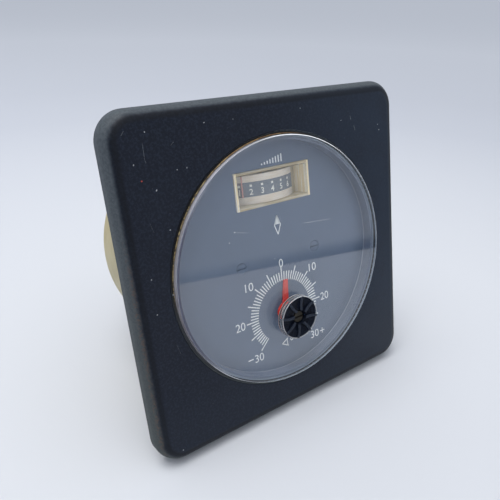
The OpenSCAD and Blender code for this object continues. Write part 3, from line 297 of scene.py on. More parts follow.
def edit(piece, *steps):
    """Runs steps in edit mode with all of the piece selected at first."""
    only(piece)
    bpy.ops.object.mode_set(mode="EDIT")
    bpy.ops.mesh.select_mode(type="VERT")
    bpy.ops.mesh.select_all(action="SELECT")
    for step in steps:
        step()
    bpy.ops.object.mode_set(mode="OBJECT")


def choose(test):
    """A step that selects the faces whose centre and normal pass a test."""
    def step():
        bpy.ops.mesh.select_mode(type="FACE")
        bpy.ops.mesh.select_all(action="DESELECT")
        mesh = bmesh.from_edit_mesh(bpy.context.object.data)
        for face in mesh.faces:
            face.select = bool(test(face.calc_center_median(), face.normal))
        bmesh.update_edit_mesh(bpy.context.object.data)
    return step


def clean(distance=0.002):
    """A step that merges doubles and turns the faces outwards."""
    def step():
        bpy.ops.mesh.select_mode(type="VERT")
        bpy.ops.mesh.select_all(action="SELECT")
        bpy.ops.mesh.remove_doubles(threshold=distance * MM)
        bpy.ops.mesh.normals_make_consistent(inside=False)
    return step


def smooth(piece, degrees):
    """Rounds the shading of a piece, yet leaves its flat faces flat."""
    only(piece)
    bpy.ops.object.shade_smooth_by_angle(angle=math.radians(degrees))
    apply_modifier(piece, "WEIGHTED_NORMAL", mode="FACE_AREA", weight=100, keep_sharp=True)


def joined(name, pieces):
    """Makes one piece of several."""
    nothing_selected()
    for piece in pieces:
        piece.select_set(True)
    bpy.context.view_layer.objects.active = pieces[0]
    if len(pieces) > 1:
        bpy.ops.object.join()
    pieces[0].name = name
    return pieces[0]


def box(low, high):
    """A box between two corners in millimetres."""
    low, high = Vector(low) * MM, Vector(high) * MM
    nothing_selected()
    bpy.ops.mesh.primitive_cube_add(size=1, location=(low + high) / 2)
    piece = bpy.context.object
    piece.scale = high - low
    return settled(piece)


def disc(radius, y0, y1, x=0.0, z=0.0, sides=48):
    """A round bar along the axis of the instrument, in millimetres."""
    nothing_selected()
    spot = Vector((x, (y0 + y1) / 2, z)) * MM
    bpy.ops.mesh.primitive_cylinder_add(vertices=sides, radius=radius * MM, depth=(y1 - y0) * MM,
                                        location=spot, rotation=(math.pi / 2, 0, 0))
    return settled(bpy.context.object)


def merged_copy(node):
    """A copy of a CAD node whose loose triangles are one closed mesh."""
    piece = bpy.data.objects.new(node + "_shaped", nodes[node].data.copy())
    bpy.context.scene.collection.objects.link(piece)
    piece.data.materials.clear()
    only(piece)
    if piece.data.has_custom_normals:
        bpy.ops.mesh.customdata_custom_splitnormals_clear()
    edit(piece, clean(0.001))
    return piece


def bevelled(piece, width):
    """Softens the sharp edges of a piece by a width in millimetres."""
    apply_modifier(piece, "BEVEL", width=width * MM, segments=2, limit_method="ANGLE",
                   angle_limit=math.radians(35), use_clamp_overlap=True)
    edit(piece, clean(0.0005))
    smooth(piece, 40)


def grain(x, z, long, wide, turn=0.0, on_y=None):
    """A tiny flat pebble or streak on a surface that faces the front."""
    nothing_selected()
    bpy.ops.mesh.primitive_ico_sphere_add(subdivisions=2, radius=1, rotation=(0, -math.radians(turn), 0))
    piece = bpy.context.object
    piece.scale = Vector((long / 2, min(wide, 0.06) / 2, wide / 2)) * MM
    return moved(piece, x, (LENS_Y if on_y is None else on_y), z)


def moved(piece, x, y, z):
    """Moves a piece by millimetres and settles it."""
    piece.location = Vector((x, y, z)) * MM
    return settled(piece)


def finished(piece, finish, body, slot, *replaced):
    """Gives a new piece its material and body; slot is not used."""
    piece.data.materials.clear()
    piece.data.materials.append(finish.material)
    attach(piece, body)
    if replaced:
        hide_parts(*replaced)
    print(piece.name, len(piece.data.polygons), "faces")
    return piece


def resmoothed(node, degrees, finish, body, slot):
    """Replaces a CAD node by a merged copy with rounded shading."""
    piece = merged_copy(node)
    smooth(piece, degrees)
    return finished(piece, finish, body, slot, node)


def dress(finish, *names):
    """Gives CAD nodes a finished material."""
    for name in names:
        nodes[name].data.materials.clear()
        nodes[name].data.materials.append(finish.material)


# %% [markdown]
# The stage is a wide pale sheet. It is a little darker some way behind the instrument, where the
# lamp reaches it less, and a soft shadow gathers under the instrument. A ramp of colours over the
# distance does this without any change to the light.
# Reflections in the lens and on the black plastic need more than the sheet that the camera sees:
# in front, the sheet is brighter towards the window, it ends at a dark gap, and a pale wall stands
# beyond. Three sheets that only reflections meet make these.

# %% Floor
X, Y, Z = 0, 1, 2
FLOOR_R = 12
FLOOR_FADE = 2.0
FLOOR_TONES = [(0.07, "#d1d4da"), (0.22, "#c4c8d1"), (0.3, "#c4c8d1"), (0.6, "#d0d4dc")]
SHEET_EDGE = ((139, -367), (257, -234))
SHEET_SIZE = (300, 900)
GAP_TO_WALL = 1200
ROOM_WIDTH = 6000
WALL_HEIGHT = 3000


def on_floor(x, y):
    """A point of the floor under a place of the plan in millimetres."""
    return FLOOR_POINT + Vector((x, y, y * math.tan(LEAN))) * MM


def make_floor():
    nothing_selected()
    bpy.ops.mesh.primitive_circle_add(vertices=96, radius=FLOOR_R, fill_type="NGON",
                                      location=FLOOR_POINT, rotation=(LEAN, 0, 0))
    floor = bpy.context.object
    floor.name = "floor"
    sheet = Finish("floor_sheet", "#dfe3e8", 0.9, specular_ior_level=0.0)
    distance = sheet.node("VectorMath", {"operation": "LENGTH"}, {0: sheet.place()}, 1)
    tones = sheet.node("ValToRGB", {"stops": FLOOR_TONES}, {"Fac": distance / FLOOR_FADE})
    sheet.set(colour=tones)
    floor.data.materials.append(sheet.material)


def mirrored_sheet(name, middle, along, across, size, low, high, start, end, other_low=None):
    """A glowing sheet that only reflections meet; its tone runs along its second direction."""
    nothing_selected()
    bpy.ops.mesh.primitive_plane_add(size=1)
    sheet = bpy.context.object
    sheet.name = name
    sheet.scale = (size[0] * MM, size[1] * MM, 1)
    settled(sheet)
    turn = Matrix((along, across, along.cross(across))).transposed()
    sheet.matrix_world = Matrix.Translation(middle) @ turn.to_4x4()
    shade = Finish(name, "#000000", 1.0, specular_ior_level=0.0)
    spot = shade.place()
    if other_low:
        low = shade.mix(spot.part(X).past(-90, 60), other_low, low)
    depth = spot.part(Y) + size[1] / 2 * MM
    shade.plug(shade.shader, "Emission Color", shade.mix(depth.past(start, end), low, high))
    shade.shader.inputs["Emission Strength"].default_value = 1.0
    sheet.data.materials.append(shade.material)
    for ray in ("camera", "diffuse", "volume_scatter", "shadow"):
        setattr(sheet, "visible_" + ray, False)


def make_mirrored_room():
    start, end = on_floor(*SHEET_EDGE[0]), on_floor(*SHEET_EDGE[1])
    along = (end - start).normalized()
    across = along.cross(UPRIGHT)
    edge = (start + end) / 2
    lift = UPRIGHT * MM
    sheet_middle = edge + lift - across * SHEET_SIZE[0] / 2 * MM
    gap_middle = edge + lift + across * GAP_TO_WALL / 2 * MM
    wall_middle = edge + across * GAP_TO_WALL * MM + UPRIGHT * WALL_HEIGHT / 2 * MM
    mirrored_sheet("front_sheet", sheet_middle, across, along, SHEET_SIZE,
                   "#fbf4ef", "#f4f9ff", 250, 650)
    mirrored_sheet("front_gap", gap_middle, along, across, (ROOM_WIDTH, GAP_TO_WALL),
                   "#131d29", "#d8dce2", 8, 150, "#8d97a4")
    mirrored_sheet("front_wall", wall_middle, along, UPRIGHT, (ROOM_WIDTH, WALL_HEIGHT),
                   "#d6dae0", "#c6c9cc", 0, 2500)


make_floor()
make_mirrored_room()
print("edge of the sheet:", [round(c / MM) for place in SHEET_EDGE for c in on_floor(*place)])

# %% [markdown]
# The light comes from everywhere above, brightest overhead and weak near the horizon, as under
# the white ceiling of a studio. One large lamp to the upper left gives the edges their gleam. The
# camera sees a plain pale colour in place of the sky, by Light Path's Is Camera Ray.

# %% Light
HORIZON = (0.0, (0.27, 0.30, 0.35, 1))
HALF_WAY = (0.35, (0.40, 0.43, 0.48, 1))
OVERHEAD = (0.9, (1.0, 1.02, 1.06, 1))
SEEN_SKY = "#e0e5ec"
LAMP_AT = Vector((-0.25, -0.15, 0.95))
LAMP_SIZE = 0.7
LAMP_POWER = 6.0
LAMP_COLOUR = (1.0, 0.99, 0.97)


def make_world():
    world = bpy.data.worlds.new("studio")
    bpy.context.scene.world = world
    world.use_nodes = True
    tree = world.node_tree
    made = {node.type: node for node in tree.nodes}
    background, output = made["BACKGROUND"], made["OUTPUT_WORLD"]
    coords = tree.nodes.new("ShaderNodeTexCoord")
    height = tree.nodes.new("ShaderNodeVectorMath")
    height.operation = "DOT_PRODUCT"
    height.inputs[1].default_value = UPRIGHT
    tree.links.new(coords.outputs["Generated"], height.inputs[0])
    ramp = tree.nodes.new("ShaderNodeValToRGB")
    tree.links.new(height.outputs["Value"], ramp.inputs["Fac"])
    stops = ramp.color_ramp.elements
    stops[0].position, stops[0].color = HORIZON
    stops[1].position, stops[1].color = OVERHEAD
    stops.new(HALF_WAY[0]).color = HALF_WAY[1]
    seen = tree.nodes.new("ShaderNodeBackground")
    seen.inputs["Color"].default_value = paint(SEEN_SKY)
    path = tree.nodes.new("ShaderNodeLightPath")
    switch = tree.nodes.new("ShaderNodeMixShader")
    tree.links.new(ramp.outputs["Color"], background.inputs["Color"])
    tree.links.new(path.outputs["Is Camera Ray"], switch.inputs["Fac"])
    tree.links.new(background.outputs[0], switch.inputs[1])
    tree.links.new(seen.outputs[0], switch.inputs[2])
    tree.links.new(switch.outputs[0], output.inputs["Surface"])
    background.inputs["Strength"].default_value = 1.0


def make_lamp():
    """A large round lamp that looks at the instrument."""
    data = bpy.data.lights.new("ceiling_light", "AREA")
    data.shape, data.size, data.energy, data.color = "DISK", LAMP_SIZE, LAMP_POWER, LAMP_COLOUR
    lamp = bpy.data.objects.new("ceiling_light", data)
    bpy.context.scene.collection.objects.link(lamp)
    lamp.location = LAMP_AT
    lamp.rotation_mode = "QUATERNION"
    lamp.rotation_quaternion = (-LAMP_AT).to_track_quat("-Z", "Y")


make_world()
make_lamp()
print("lamp of", LAMP_POWER, "watts", round(LAMP_AT.length, 2), "metres away")


# %% [markdown]
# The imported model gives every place: the boxes of its nodes are read here in millimetres. Read
# from the model, a place stays right when the model changes. What a box can't tell, such as the
# opening of the window's cap, is written beside it.

# %% Places
def span(node, axis):
    """Lowest and highest place of a node along an axis, in millimetres."""
    low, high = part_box(node)
    return low[axis] / MM, high[axis] / MM


DIAL_Y = span("dial_plate", Y)[0]
FRAME_Y = span("front_frame", Y)[0]
LENS_Y, LENS_REAR_Y = span("lens", Y)
LENS_R = span("lens", X)[1]
LENS_EDGE_R = 0.4
BUSH_FLANGE = 0.6
BUSH_CLEAR = 0.05
LENS_HOLE_R = span("lens_bush", X)[1] - BUSH_FLANGE + BUSH_CLEAR
KNOB_Z = sum(span("knob_body", Z)) / 2
KNOB_R = span("knob_body", X)[1]
KNOB_Y, KNOB_REAR_Y = span("knob_body", Y)
INSERT_Y = span("knob_insert", Y)[0]
METER_AXIS_Y = sum(span("core_magnet", Y)) / 2
METER_Z = sum(span("meter_case", Z)) / 2
SCALE_R = METER_AXIS_Y - span("scale_strip", Y)[0]
SCALE_TOP = span("meter_scale", Z)[1]
STRIP_Z = sum(span("scale_strip", Z)) / 2
WINDOW_HALF_W = 15.0
WINDOW_HALF_H = 6.05
WINDOW_Z = METER_Z + 0.85
WINDOW_WALL = 0.8
print("dial at", round(DIAL_Y, 2), "knob at", round(KNOB_Z, 2), "hole of the lens", round(LENS_HOLE_R, 2))
print("meter's axis at", round(METER_AXIS_Y, 2), "its scale's radius", round(SCALE_R, 2))


# %% [markdown]
# Front frame: a moulded plastic that has been handled for years. Its front face is nearly
# blue-black; a painted reflection makes it lighter to the right, and it is lighter towards the
# bottom. Its rounded edge is painted blacker still, a painted shade. The side walls are paler,
# partly where hands and cloths have rubbed them and partly painted light, lighter towards the
# top, and browner lower down on the left. Fine grain covers it all.

# %% Frame plastic
def frame_finish():
    look = Finish("frame_plastic", "#101319", 0.4, specular_ior_level=0.2)
    spot = look.place()
    x, z = spot.part(X), spot.part(Z)
    front = look.node("NewGeometry", {}, {}, 1).part(Y) * -1.0
    side = 1 - (front + (look.cloud(1.2, 3.0) - 0.5) * 0.12).between(0.62, 0.86)
    side = side * front.between(-0.9, -0.6)
    shaded_bend = front.between(0.7, 0.9) * (1 - front.between(0.95, 0.999))
    fine = look.cloud(0.8, 3.0, rough=0.7)
    coarse = look.cloud(9, 4.0, rough=0.65)
    # Painted reflection: the face is painted lighter to the right. It is also lighter towards the bottom.
    face = look.mix(x.past(-20, 50), "#0d1524", "#1a2738")
    face = look.mix((z * -1.0).past(20, 55) * 0.7, face, "#1d2430")
    face = look.mix(coarse.between(0.4, 0.7) * 0.4, face, "#141b29")
    tone = look.mix(fine.between(0.45, 0.62) * 0.5, face, "#232d3d")
    # Painted shade: the rounded edge between face and side walls is painted darker.
    tone = look.mix(shaded_bend * 0.6, tone, "#070b12")
    # The side walls: partly worn and dusty, partly painted light that makes them lighter towards the top.
    rubbed_and_lit = look.mix(z.past(-50, 50), "#464c4c", "#4f565c")
    rubbed_and_lit = look.mix(fine.between(0.42, 0.6) * 0.5, rubbed_and_lit, "#3a4046")
    tone = look.mix(side, tone, rubbed_and_lit)
    brown = (x * -1.0).past(51.5, 53.5) * (1 - z.past(0.0, 30)) * front.between(0.5, 0.62)
    brown = brown * (1 - front.between(0.72, 0.82)) * look.cloud(1.1, 4.0, rough=0.75).between(0.45, 0.6)
    tone = look.mix(brown * 0.6, tone, "#5b4a40")
    dust = look.specks(2.2, 0.1, 0.22)
    tone = look.mix(dust * 0.35, tone, "#8a9198")
    look.set(colour=tone, roughness=0.36 + fine * 0.1 + side.most(shaded_bend) * 0.16)
    look.set(normal=look.bump(fine * 0.6 + look.cloud(0.22, 1.0) * 0.4, 0.03, 0.6))
    return look


resmoothed("front_frame", 35, frame_finish(), "housing", "frame_plastic")


# %% [markdown]
# Case: a deep can of cream plastic behind the panel, gone yellow with age. Wide soft clouds of two
# close tones read as old plastic, where one even tone would look new.

# %% Case plastic
def case_finish():
    look = Finish("case_cream", "#bdb18a", 0.42)
    age = look.cloud(18, 4.0, rough=0.6)
    tone = look.mix(age.between(0.3, 0.8), "#bfb590", "#a99b70")
    tone = look.mix(look.specks(3.0, 0.12, 0.2) * 0.6, tone, "#6d6247")
    look.set(colour=tone, roughness=0.38 + look.cloud(4, 3.0) * 0.15)
    look.set(normal=look.bump(look.cloud(1.2, 3.0), 0.03, 0.5))
    return look


resmoothed("case_can", 35, case_finish(), "housing", "case_cream")


# %% [markdown]
# Clear plastics: light bends in them, so the dial looks nearer than it is and the rims gleam.
# A ray on its way to a lamp goes straight through, by a transparent shader that only such rays
# meet, and so the dial behind the lens is lit without noise. Where a wall is dull, as the sawn
# edge of the lens and the sides of the meter's window are, a cloudy shader is mixed in. On the
# rims of the lens and the knob and on the window's sides, this shader also carries painted
# highlights, painted reflections and a painted glow.

# %% Clear plastics
ACRYLIC_IOR = 1.49


def clear_finish(name, colour, roughness, ior, through, cloudy=None):
    """Clear plastic; cloudy gives the share, the colour and the painted glow of dull places."""
    look = Finish(name, colour, roughness, transmission_weight=1.0, ior=ior)
    seen = look.shader_out()
    if cloudy:
        share, tone, painted_glow = cloudy(look)
        sockets = {"Base Color": tone, "Roughness": 0.5, "Emission Color": painted_glow, "Emission Strength": 1.0}
        dull = look.node("BsdfPrincipled", {}, sockets)
        seen = look.node("MixShader", {}, {0: share, 1: seen, 2: dull})
    straight = look.node("BsdfTransparent", {}, {"Color": through})
    lamp_ray = look.node("LightPath", {}, {}, 1)
    spread_ray = look.node("LightPath", {}, {}, 2)
    straight_rays = lamp_ray.most(spread_ray)
    look.plug(look.output, "Surface", look.node("MixShader", {}, {0: straight_rays, 1: seen, 2: straight}))
    return look


def lens_clouds(look):
    """The sawn edge is frosted, in tones painted by side, paler at the upper left, a painted light. Its
    rounding has a painted highlight, glowing on the right and missing on the left, where a painted dark
    reflection lies inside it.
    """
    spot = look.place()
    x, depth, z = spot.part(X), spot.part(Y), spot.part(Z)
    radius = (x ** 2.0 + z ** 2.0) ** 0.5
    leftward = (x * -1.0 / radius).between(0.6, 0.92)
    rightward = (x / radius).between(-0.3, 0.4)
    upleft = ((z * 0.64 - x * 0.77) / radius).between(0.6, 0.95)
    wall = radius.past(LENS_R - 0.1, LENS_R - 0.04)
    turn_y = LENS_Y + LENS_EDGE_R
    turned = 1 - depth.past(turn_y - 0.04, turn_y + 0.04)
    gleam = radius.past(LENS_R - 0.25, LENS_R - 0.19) * turned
    inner = radius.past(LENS_R - 1.0, LENS_R - 0.8) * turned
    inner = inner * (1 - radius.past(LENS_R - 0.3, LENS_R - 0.2)) * leftward
    bands = look.cloud(0.35, 2.0, look.place(stretch=(0.05, 1, 0.05)))
    # Painted light: the wall's tone changes with its side, and the dark inner line on the left is a
    # painted reflection.
    left_wall = look.mix(bands.between(0.42, 0.58), "#a39da5", "#c4c0c6")
    left_wall = look.mix(turned, left_wall, "#76737e")
    right_wall = look.mix(turned, look.mix(rightward, "#a3adba", "#8f9cac"), "#eef1f4")
    lit_wall_tone = look.mix(leftward, right_wall, left_wall)
    lit_wall_tone = look.mix(upleft * (1 - leftward * 0.6), lit_wall_tone, "#c9c9d4")
    # Painted highlight on the rounding, with a painted glow on the right.
    gleam_tone = look.mix(upleft, "#f6f8fa", "#c2c2ce")
    tone = look.mix(gleam * (1 - leftward), lit_wall_tone, gleam_tone)
    tone = look.mix(inner, tone, "#43455c")
    share = (wall * (0.5 + rightward * 0.38 + leftward.most(upleft) * 0.25)).most(inner * 0.85)
    share = share.most(gleam * (0.75 + rightward * 0.2 - upleft * 0.3))
    painted_glow = look.mix(gleam * rightward, "#000000", "#d4d9df")
    return share, tone, painted_glow


def window_clouds(look):
    """The side walls of the window are streaky; the left and right ones are painted paler and glow
    faintly, painted light for light scattered through them. Its front face is clear.
    """
    spot = look.place()
    across = abs(spot.part(X))
    up = abs(spot.part(Z) - WINDOW_Z * MM)
    open_half_w, open_half_h = WINDOW_HALF_W - WINDOW_WALL, WINDOW_HALF_H - WINDOW_WALL
    side = across.past(open_half_w - 0.1, open_half_w)
    over = up.past(open_half_h - 0.1, open_half_h)
    flat = look.cloud(0.9, 2.0, look.place(stretch=(0.06, 0.2, 1)))
    tall = look.cloud(0.9, 2.0, look.place(stretch=(1, 1, 0.06)))
    streaks = look.mix(side, flat, tall).part(0)
    # Painted light: the left and right walls are paler and return a painted glow.
    yellowed = look.mix(side, "#d8c39c", "#f2dfb4")
    pale = look.mix(side, "#efe4cf", "#fffdf8")
    tone = look.mix(streaks.between(0.44, 0.58), yellowed, pale)
    return (side * 0.9).most(over * 0.7), tone, look.mix(side, "#000000", "#5e5546")


def knob_clouds(look):
    """The two rims of the knob have a painted pale highlight, paler on the right, and the rear rim on the
    left a painted pink reflection of the red pointer.
    """
    spot = look.place()
    x, depth, up = spot.part(X), spot.part(Y), spot.part(Z) - KNOB_Z * MM
    radius = (x ** 2.0 + up ** 2.0) ** 0.5
    outer = radius.past(KNOB_R - 0.14, KNOB_R - 0.06)
    rim = radius.past(KNOB_R - 0.42, KNOB_R - 0.34)
    front = rim * (1 - depth.past(KNOB_Y + 0.1, KNOB_Y + 0.18))
    rear = outer * depth.past(KNOB_REAR_Y - 0.6, KNOB_REAR_Y - 0.4)
    leftward = (x * -1.0 / radius).between(0.0, 0.7)
    # Painted pink reflection of the red pointer on the rear rim's left side; the rims are painted paler on
    # the right.
    tone = look.mix(rear * leftward, look.mix(leftward, "#eceef0", "#c3c1c5"), "#d8b4b0")
    return (front * 0.5).most(rear * 0.6).most(outer * 0.15), tone, "#000000"


LENS = clear_finish("lens_clear", "#fbfcfc", 0.0, ACRYLIC_IOR, "#fafbfb", lens_clouds)
KNOB_CLEAR = clear_finish("knob_clear", "#f7f8f8", 0.02, ACRYLIC_IOR, "#f6f8f8", knob_clouds)
WINDOW = clear_finish("window_clear", "#fdfbf7", 0.03, ACRYLIC_IOR, "#fffefa", window_clouds)

# %% [markdown]
# The lens is modelled anew with many more sides than its solid has, because a lens shows each of
# its flats in its rim. The window's cap is a copy of its node: the inside of its upper wall comes
# down a little, which hides the gap for the needle's arm, and its edges are softened.

# %% Lens, knob and window
LENS_SIDES = 256
WINDOW_SINK = 0.3


def make_lens():
    """A thick disc with its front edge rounded and a hole for the spindle's bearing."""
    piece = disc(LENS_R, LENS_Y, LENS_REAR_Y, sides=LENS_SIDES)
    edit(piece, choose(lambda centre, normal: normal.y < -0.9), lambda: bpy.ops.mesh.region_to_loop(),
         lambda: bpy.ops.mesh.bevel(offset=LENS_EDGE_R * MM, segments=6, affect="EDGES"))
    hole = disc(LENS_HOLE_R, LENS_Y - 1, LENS_REAR_Y + 1, z=KNOB_Z, sides=64)
    apply_modifier(piece, "BOOLEAN", operation="DIFFERENCE", object=hole, solver="EXACT")
    bpy.data.objects.remove(hole)
    piece.name = "lens_shaped"
    smooth(piece, 30)
    return piece


finished(make_lens(), LENS, "housing", "lens_clear", "lens")
resmoothed("knob_body", 30, KNOB_CLEAR, "setting", "knob_clear")
meter_window = merged_copy("meter_window")
for vertex in meter_window.data.vertices:
    if abs(vertex.co.z - (WINDOW_Z + WINDOW_HALF_H - WINDOW_WALL) * MM) < 0.05 * MM:
        vertex.co.z -= WINDOW_SINK * MM
bevelled(meter_window, 0.12)
finished(meter_window, WINDOW, "housing", "window_clear", "meter_window")


# %% [markdown]
# The compound round the lens was once black. Along the top and down the left side it has gone
# brown and crumbly and stands up in a thin crust, which is modelled as a bent bar whose thickness
# follows a noise. Single crumbs are left beyond its ends.

# %% Sealing compound
CRUST_DIRECTION = math.radians(130)
CRUST_HALF_ANGLE = math.radians(55)
CRUST_R = LENS_R + 0.38
CRUST_THICK = 0.2
CRUST_LUMP = 0.07
START_R = 0.25
CRUMB_R = LENS_R + 0.3
CRUMBS = [(187, 0.3), (190, 0.22), (194, 0.34), (199, 0.2), (204, 0.26), (73, 0.25), (69, 0.2)]


def off_crust(x, z):
    """The angle between a place and the middle of the crust."""
    return abs((math.atan2(z, x) - CRUST_DIRECTION + math.pi) % (2 * math.pi) - math.pi)


def seal_finish():
    look = Finish("seal_compound", "#2a2724", 0.6)
    spot = look.place()
    x, depth, z = spot.part(X), spot.part(Y), spot.part(Z)
    radius = (x ** 2.0 + z ** 2.0) ** 0.5
    toward = (x * math.cos(CRUST_DIRECTION) + z * math.sin(CRUST_DIRECTION)) / radius
    aged = toward.between(math.cos(CRUST_HALF_ANGLE * 1.15), math.cos(CRUST_HALF_ANGLE * 0.8))
    outside = 1 - depth.past(FRAME_Y + 0.9, FRAME_Y + 1.3)
    stands = 1 - depth.past(FRAME_Y - 0.02, FRAME_Y + 0.04)
    lit_under_lens = 1 - radius.past(LENS_R - 0.3, LENS_R - 0.2)
    crumbly = look.cloud(0.9, 4.0, rough=0.7)
    old = look.mix(crumbly.between(0.35, 0.65), "#6b5636", "#a8976b")
    old = look.mix(look.cloud(0.8, 3.0).between(0.5, 0.58) * 0.9, old, "#17130f")
    old = look.mix(z.past(30, 42) * 0.4, old, "#9a6a35")
    # Painted shade: the aged compound that sinks below the frame's face is painted darker.
    tone = look.mix(aged * outside, "#23272d", look.mix(stands, "#15110e", old))
    # Painted light: the compound under the lens's rim is painted a pale blue-grey.
    look.set(colour=look.mix(lit_under_lens, tone, "#8390a2"), roughness=0.55 + crumbly * 0.2)
    look.set(normal=look.bump(crumbly * aged, 0.12, 0.8))
    return look


def make_crust():
    """A thin bar bent along the lens, with lumps, and the crumbs beyond its ends."""
    nothing_selected()
    bpy.ops.mesh.primitive_torus_add(major_segments=720, minor_segments=10, major_radius=1.0,
                                     minor_radius=START_R, rotation=(math.pi / 2, 0, 0))
    bar = settled(bpy.context.object)
    edit(bar, choose(lambda centre, normal: off_crust(centre.x, centre.z) > CRUST_HALF_ANGLE),
         lambda: bpy.ops.mesh.delete(type="FACE"), lambda: bpy.ops.mesh.select_all(action="SELECT"),
         lambda: bpy.ops.mesh.fill_holes(sides=0))
    for vertex in bar.data.vertices:
        angle = math.atan2(vertex.co.z, vertex.co.x)
        out = math.hypot(vertex.co.x, vertex.co.z) - 1.0
        full = max(0.1, 1 - (off_crust(vertex.co.x, vertex.co.z) / CRUST_HALF_ANGLE) ** 4)
        lump = noise.noise(Vector((math.cos(angle), math.sin(angle), 0)) * 45)
        thick = (CRUST_THICK + CRUST_LUMP * lump) * full
        radius = CRUST_R + 0.04 * lump + out / START_R * thick
        depth = FRAME_Y - 0.1 + vertex.co.y / START_R * thick - 0.08 * lump
        vertex.co = Vector((math.cos(angle) * radius, depth, math.sin(angle) * radius)) * MM
    smooth(bar, 60)
    pieces = [bar]
    for degrees, size in CRUMBS:
        angle = math.radians(degrees)
        x, z = CRUMB_R * math.cos(angle), CRUMB_R * math.sin(angle)
        pieces.append(grain(x, z, size, size, 0, FRAME_Y))
    return joined("seal_crust", pieces)


SEAL = seal_finish()
dress(SEAL, "lens_seal")
finished(make_crust(), SEAL, "housing", "seal_compound")


# %% [markdown]
# The dial plate is sprayed in a satin blue-grey, over the heads of its screws too. The marks are
# printed on it in white, and so are the figures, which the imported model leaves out. Each figure
# starts as text, becomes a mesh, and is scaled to the height that it has on the dial.

# %% Dial paint and print
def dial_finish():
    look = Finish("dial_paint", "#69768a", 0.6)
    tone = look.mix(look.cloud(20, 3.0).between(0.3, 0.8), "#606f86", "#65748d")
    tone = look.mix(look.specks(5.0, 0.1, 0.2) * 0.4, tone, "#9aa2ac")
    look.set(colour=tone, roughness=0.55 + look.cloud(1.0, 2.0) * 0.1)
    look.set(normal=look.bump(look.cloud(0.35, 2.0), 0.01, 0.4))
    return look


def speckled(name, low, high, size, edges=None, roughness=0.7, detail=2.0):
    """A finish for print, dust and scuffs: two tones in clouds of a size in millimetres."""
    look = Finish(name, low, roughness)
    share = look.cloud(size, detail)
    look.set(colour=look.mix(share.between(*edges) if edges else share, low, high))
    return look


PRINT_T = 0.05


def figure(text, height, width=None, boldness=0.0):
    """A flat raised figure round the origin, facing the front."""
    nothing_selected()
    bpy.ops.object.text_add(rotation=(math.pi / 2, 0, 0))
    bpy.context.object.data.body = text
    bpy.context.object.data.extrude = 0.5
    bpy.context.object.data.offset = boldness
    bpy.context.object.data.resolution_u = 5
    bpy.ops.object.convert(target="MESH")
    piece = settled(bpy.context.object)
    edit(piece, clean())
    bpy.ops.object.origin_set(type="ORIGIN_GEOMETRY", center="BOUNDS")
    wide, deep, high = piece.dimensions
    piece.location = (0, 0, 0)
    piece.scale = ((width or wide / high * height) * MM / wide, PRINT_T * MM / deep, height * MM / high)
    return settled(piece)


def line(x0, z0, x1, z1, width):
    """A printed line between two places."""
    length = math.hypot(x1 - x0, z1 - z0)
    piece = box((-length / 2, -PRINT_T / 2, -width / 2), (length / 2, PRINT_T / 2, width / 2))
    piece.rotation_euler = (0, -math.atan2(z1 - z0, x1 - x0), 0)
    return moved(piece, (x0 + x1) / 2, 0, (z0 + z1) / 2)


def printed(name, pieces):
    """Joins printed pieces and lays them on the dial."""
    piece = joined(name, pieces)
    moved(piece, 0, DIAL_Y - PRINT_T / 2, 0)
    return finished(piece, PRINT, "housing", "print_white")


def ring_of(radius, width):
    """A small flat ring round the origin."""
    nothing_selected()
    bpy.ops.mesh.primitive_torus_add(major_segments=32, minor_segments=6, major_radius=radius * MM,
                                     minor_radius=width / 2 * MM, rotation=(math.pi / 2, 0, 0))
    piece = bpy.context.object
    piece.scale = (1, 1, PRINT_T / width)
    return settled(piece)


PRINT = speckled("print_white", "#f6f7f8", "#dfe3e6", 1.5, (0.35, 0.8), 0.55, 3.0)
dress(dial_finish(), "dial_plate", "dial_screws")
dress(PRINT, "dial_marks")

# %% [markdown]
# The figures stand round the knob, each as wide as on the real dial. The plus and the minus stand
# beside the last two, and a small sign of an angle between them says what the knob sets.

# %% Figures and signs round the knob
FIGURE_H = 2.95
LABELS = [
    ("0", 0.2, -1.3, 1.7),
    ("10", 13.95, -6.5, 3.3), ("20", 18.75, -19.2, 3.75), ("30", 12.85, -32.8, 3.75),
    ("10", -13.7, -6.1, 3.3), ("20", -18.8, -19.0, 3.75), ("30", -12.65, -32.75, 3.75),
]
SIGN_HALF = 1.05
PLUS_X, PLUS_Z = 16.55, -32.8
MINUS_X, MINUS_Z = -16.25, -32.4
APEX = (-2.4, -31.4)
DEGREE_X, DEGREE_Z = 1.95, -30.85

printed("dial_figures", [moved(figure(text, FIGURE_H, width), x, 0, z) for text, x, z, width in LABELS])
printed("plus_and_minus", [
    line(PLUS_X - SIGN_HALF, PLUS_Z, PLUS_X + SIGN_HALF, PLUS_Z, 0.34),
    line(PLUS_X, PLUS_Z - SIGN_HALF, PLUS_X, PLUS_Z + SIGN_HALF, 0.34),
    line(MINUS_X - SIGN_HALF, MINUS_Z, MINUS_X + SIGN_HALF, MINUS_Z, 0.4),
])
printed("angle_sign", [
    line(*APEX, 0.2, -29.95, 0.42), line(*APEX, 0.4, -32.9, 0.42),
    line(-0.15, -30.35, 0.0, -32.7, 0.36), moved(ring_of(0.5, 0.34), DEGREE_X, 0, DEGREE_Z),
])

# %% [markdown]
# Over the window, a row of bars that grow to the right says that the meter shows a level. Under
# it stands a plain compass needle, its upper half hatched.

# %% Level bars and needle sign
BAR_COUNT = 8
BAR_X, BAR_PITCH, BAR_W = -3.85, 1.13, 0.5
BAR_FOOT_Z, BAR_H, BAR_GROWTH = 33.0, 0.5, 0.3
NEEDLE_X, NEEDLE_Z = 0.2, 12.3
NEEDLE_TIP, NEEDLE_FLANK = 3.3, 1.25
HATCH_COUNT = 5

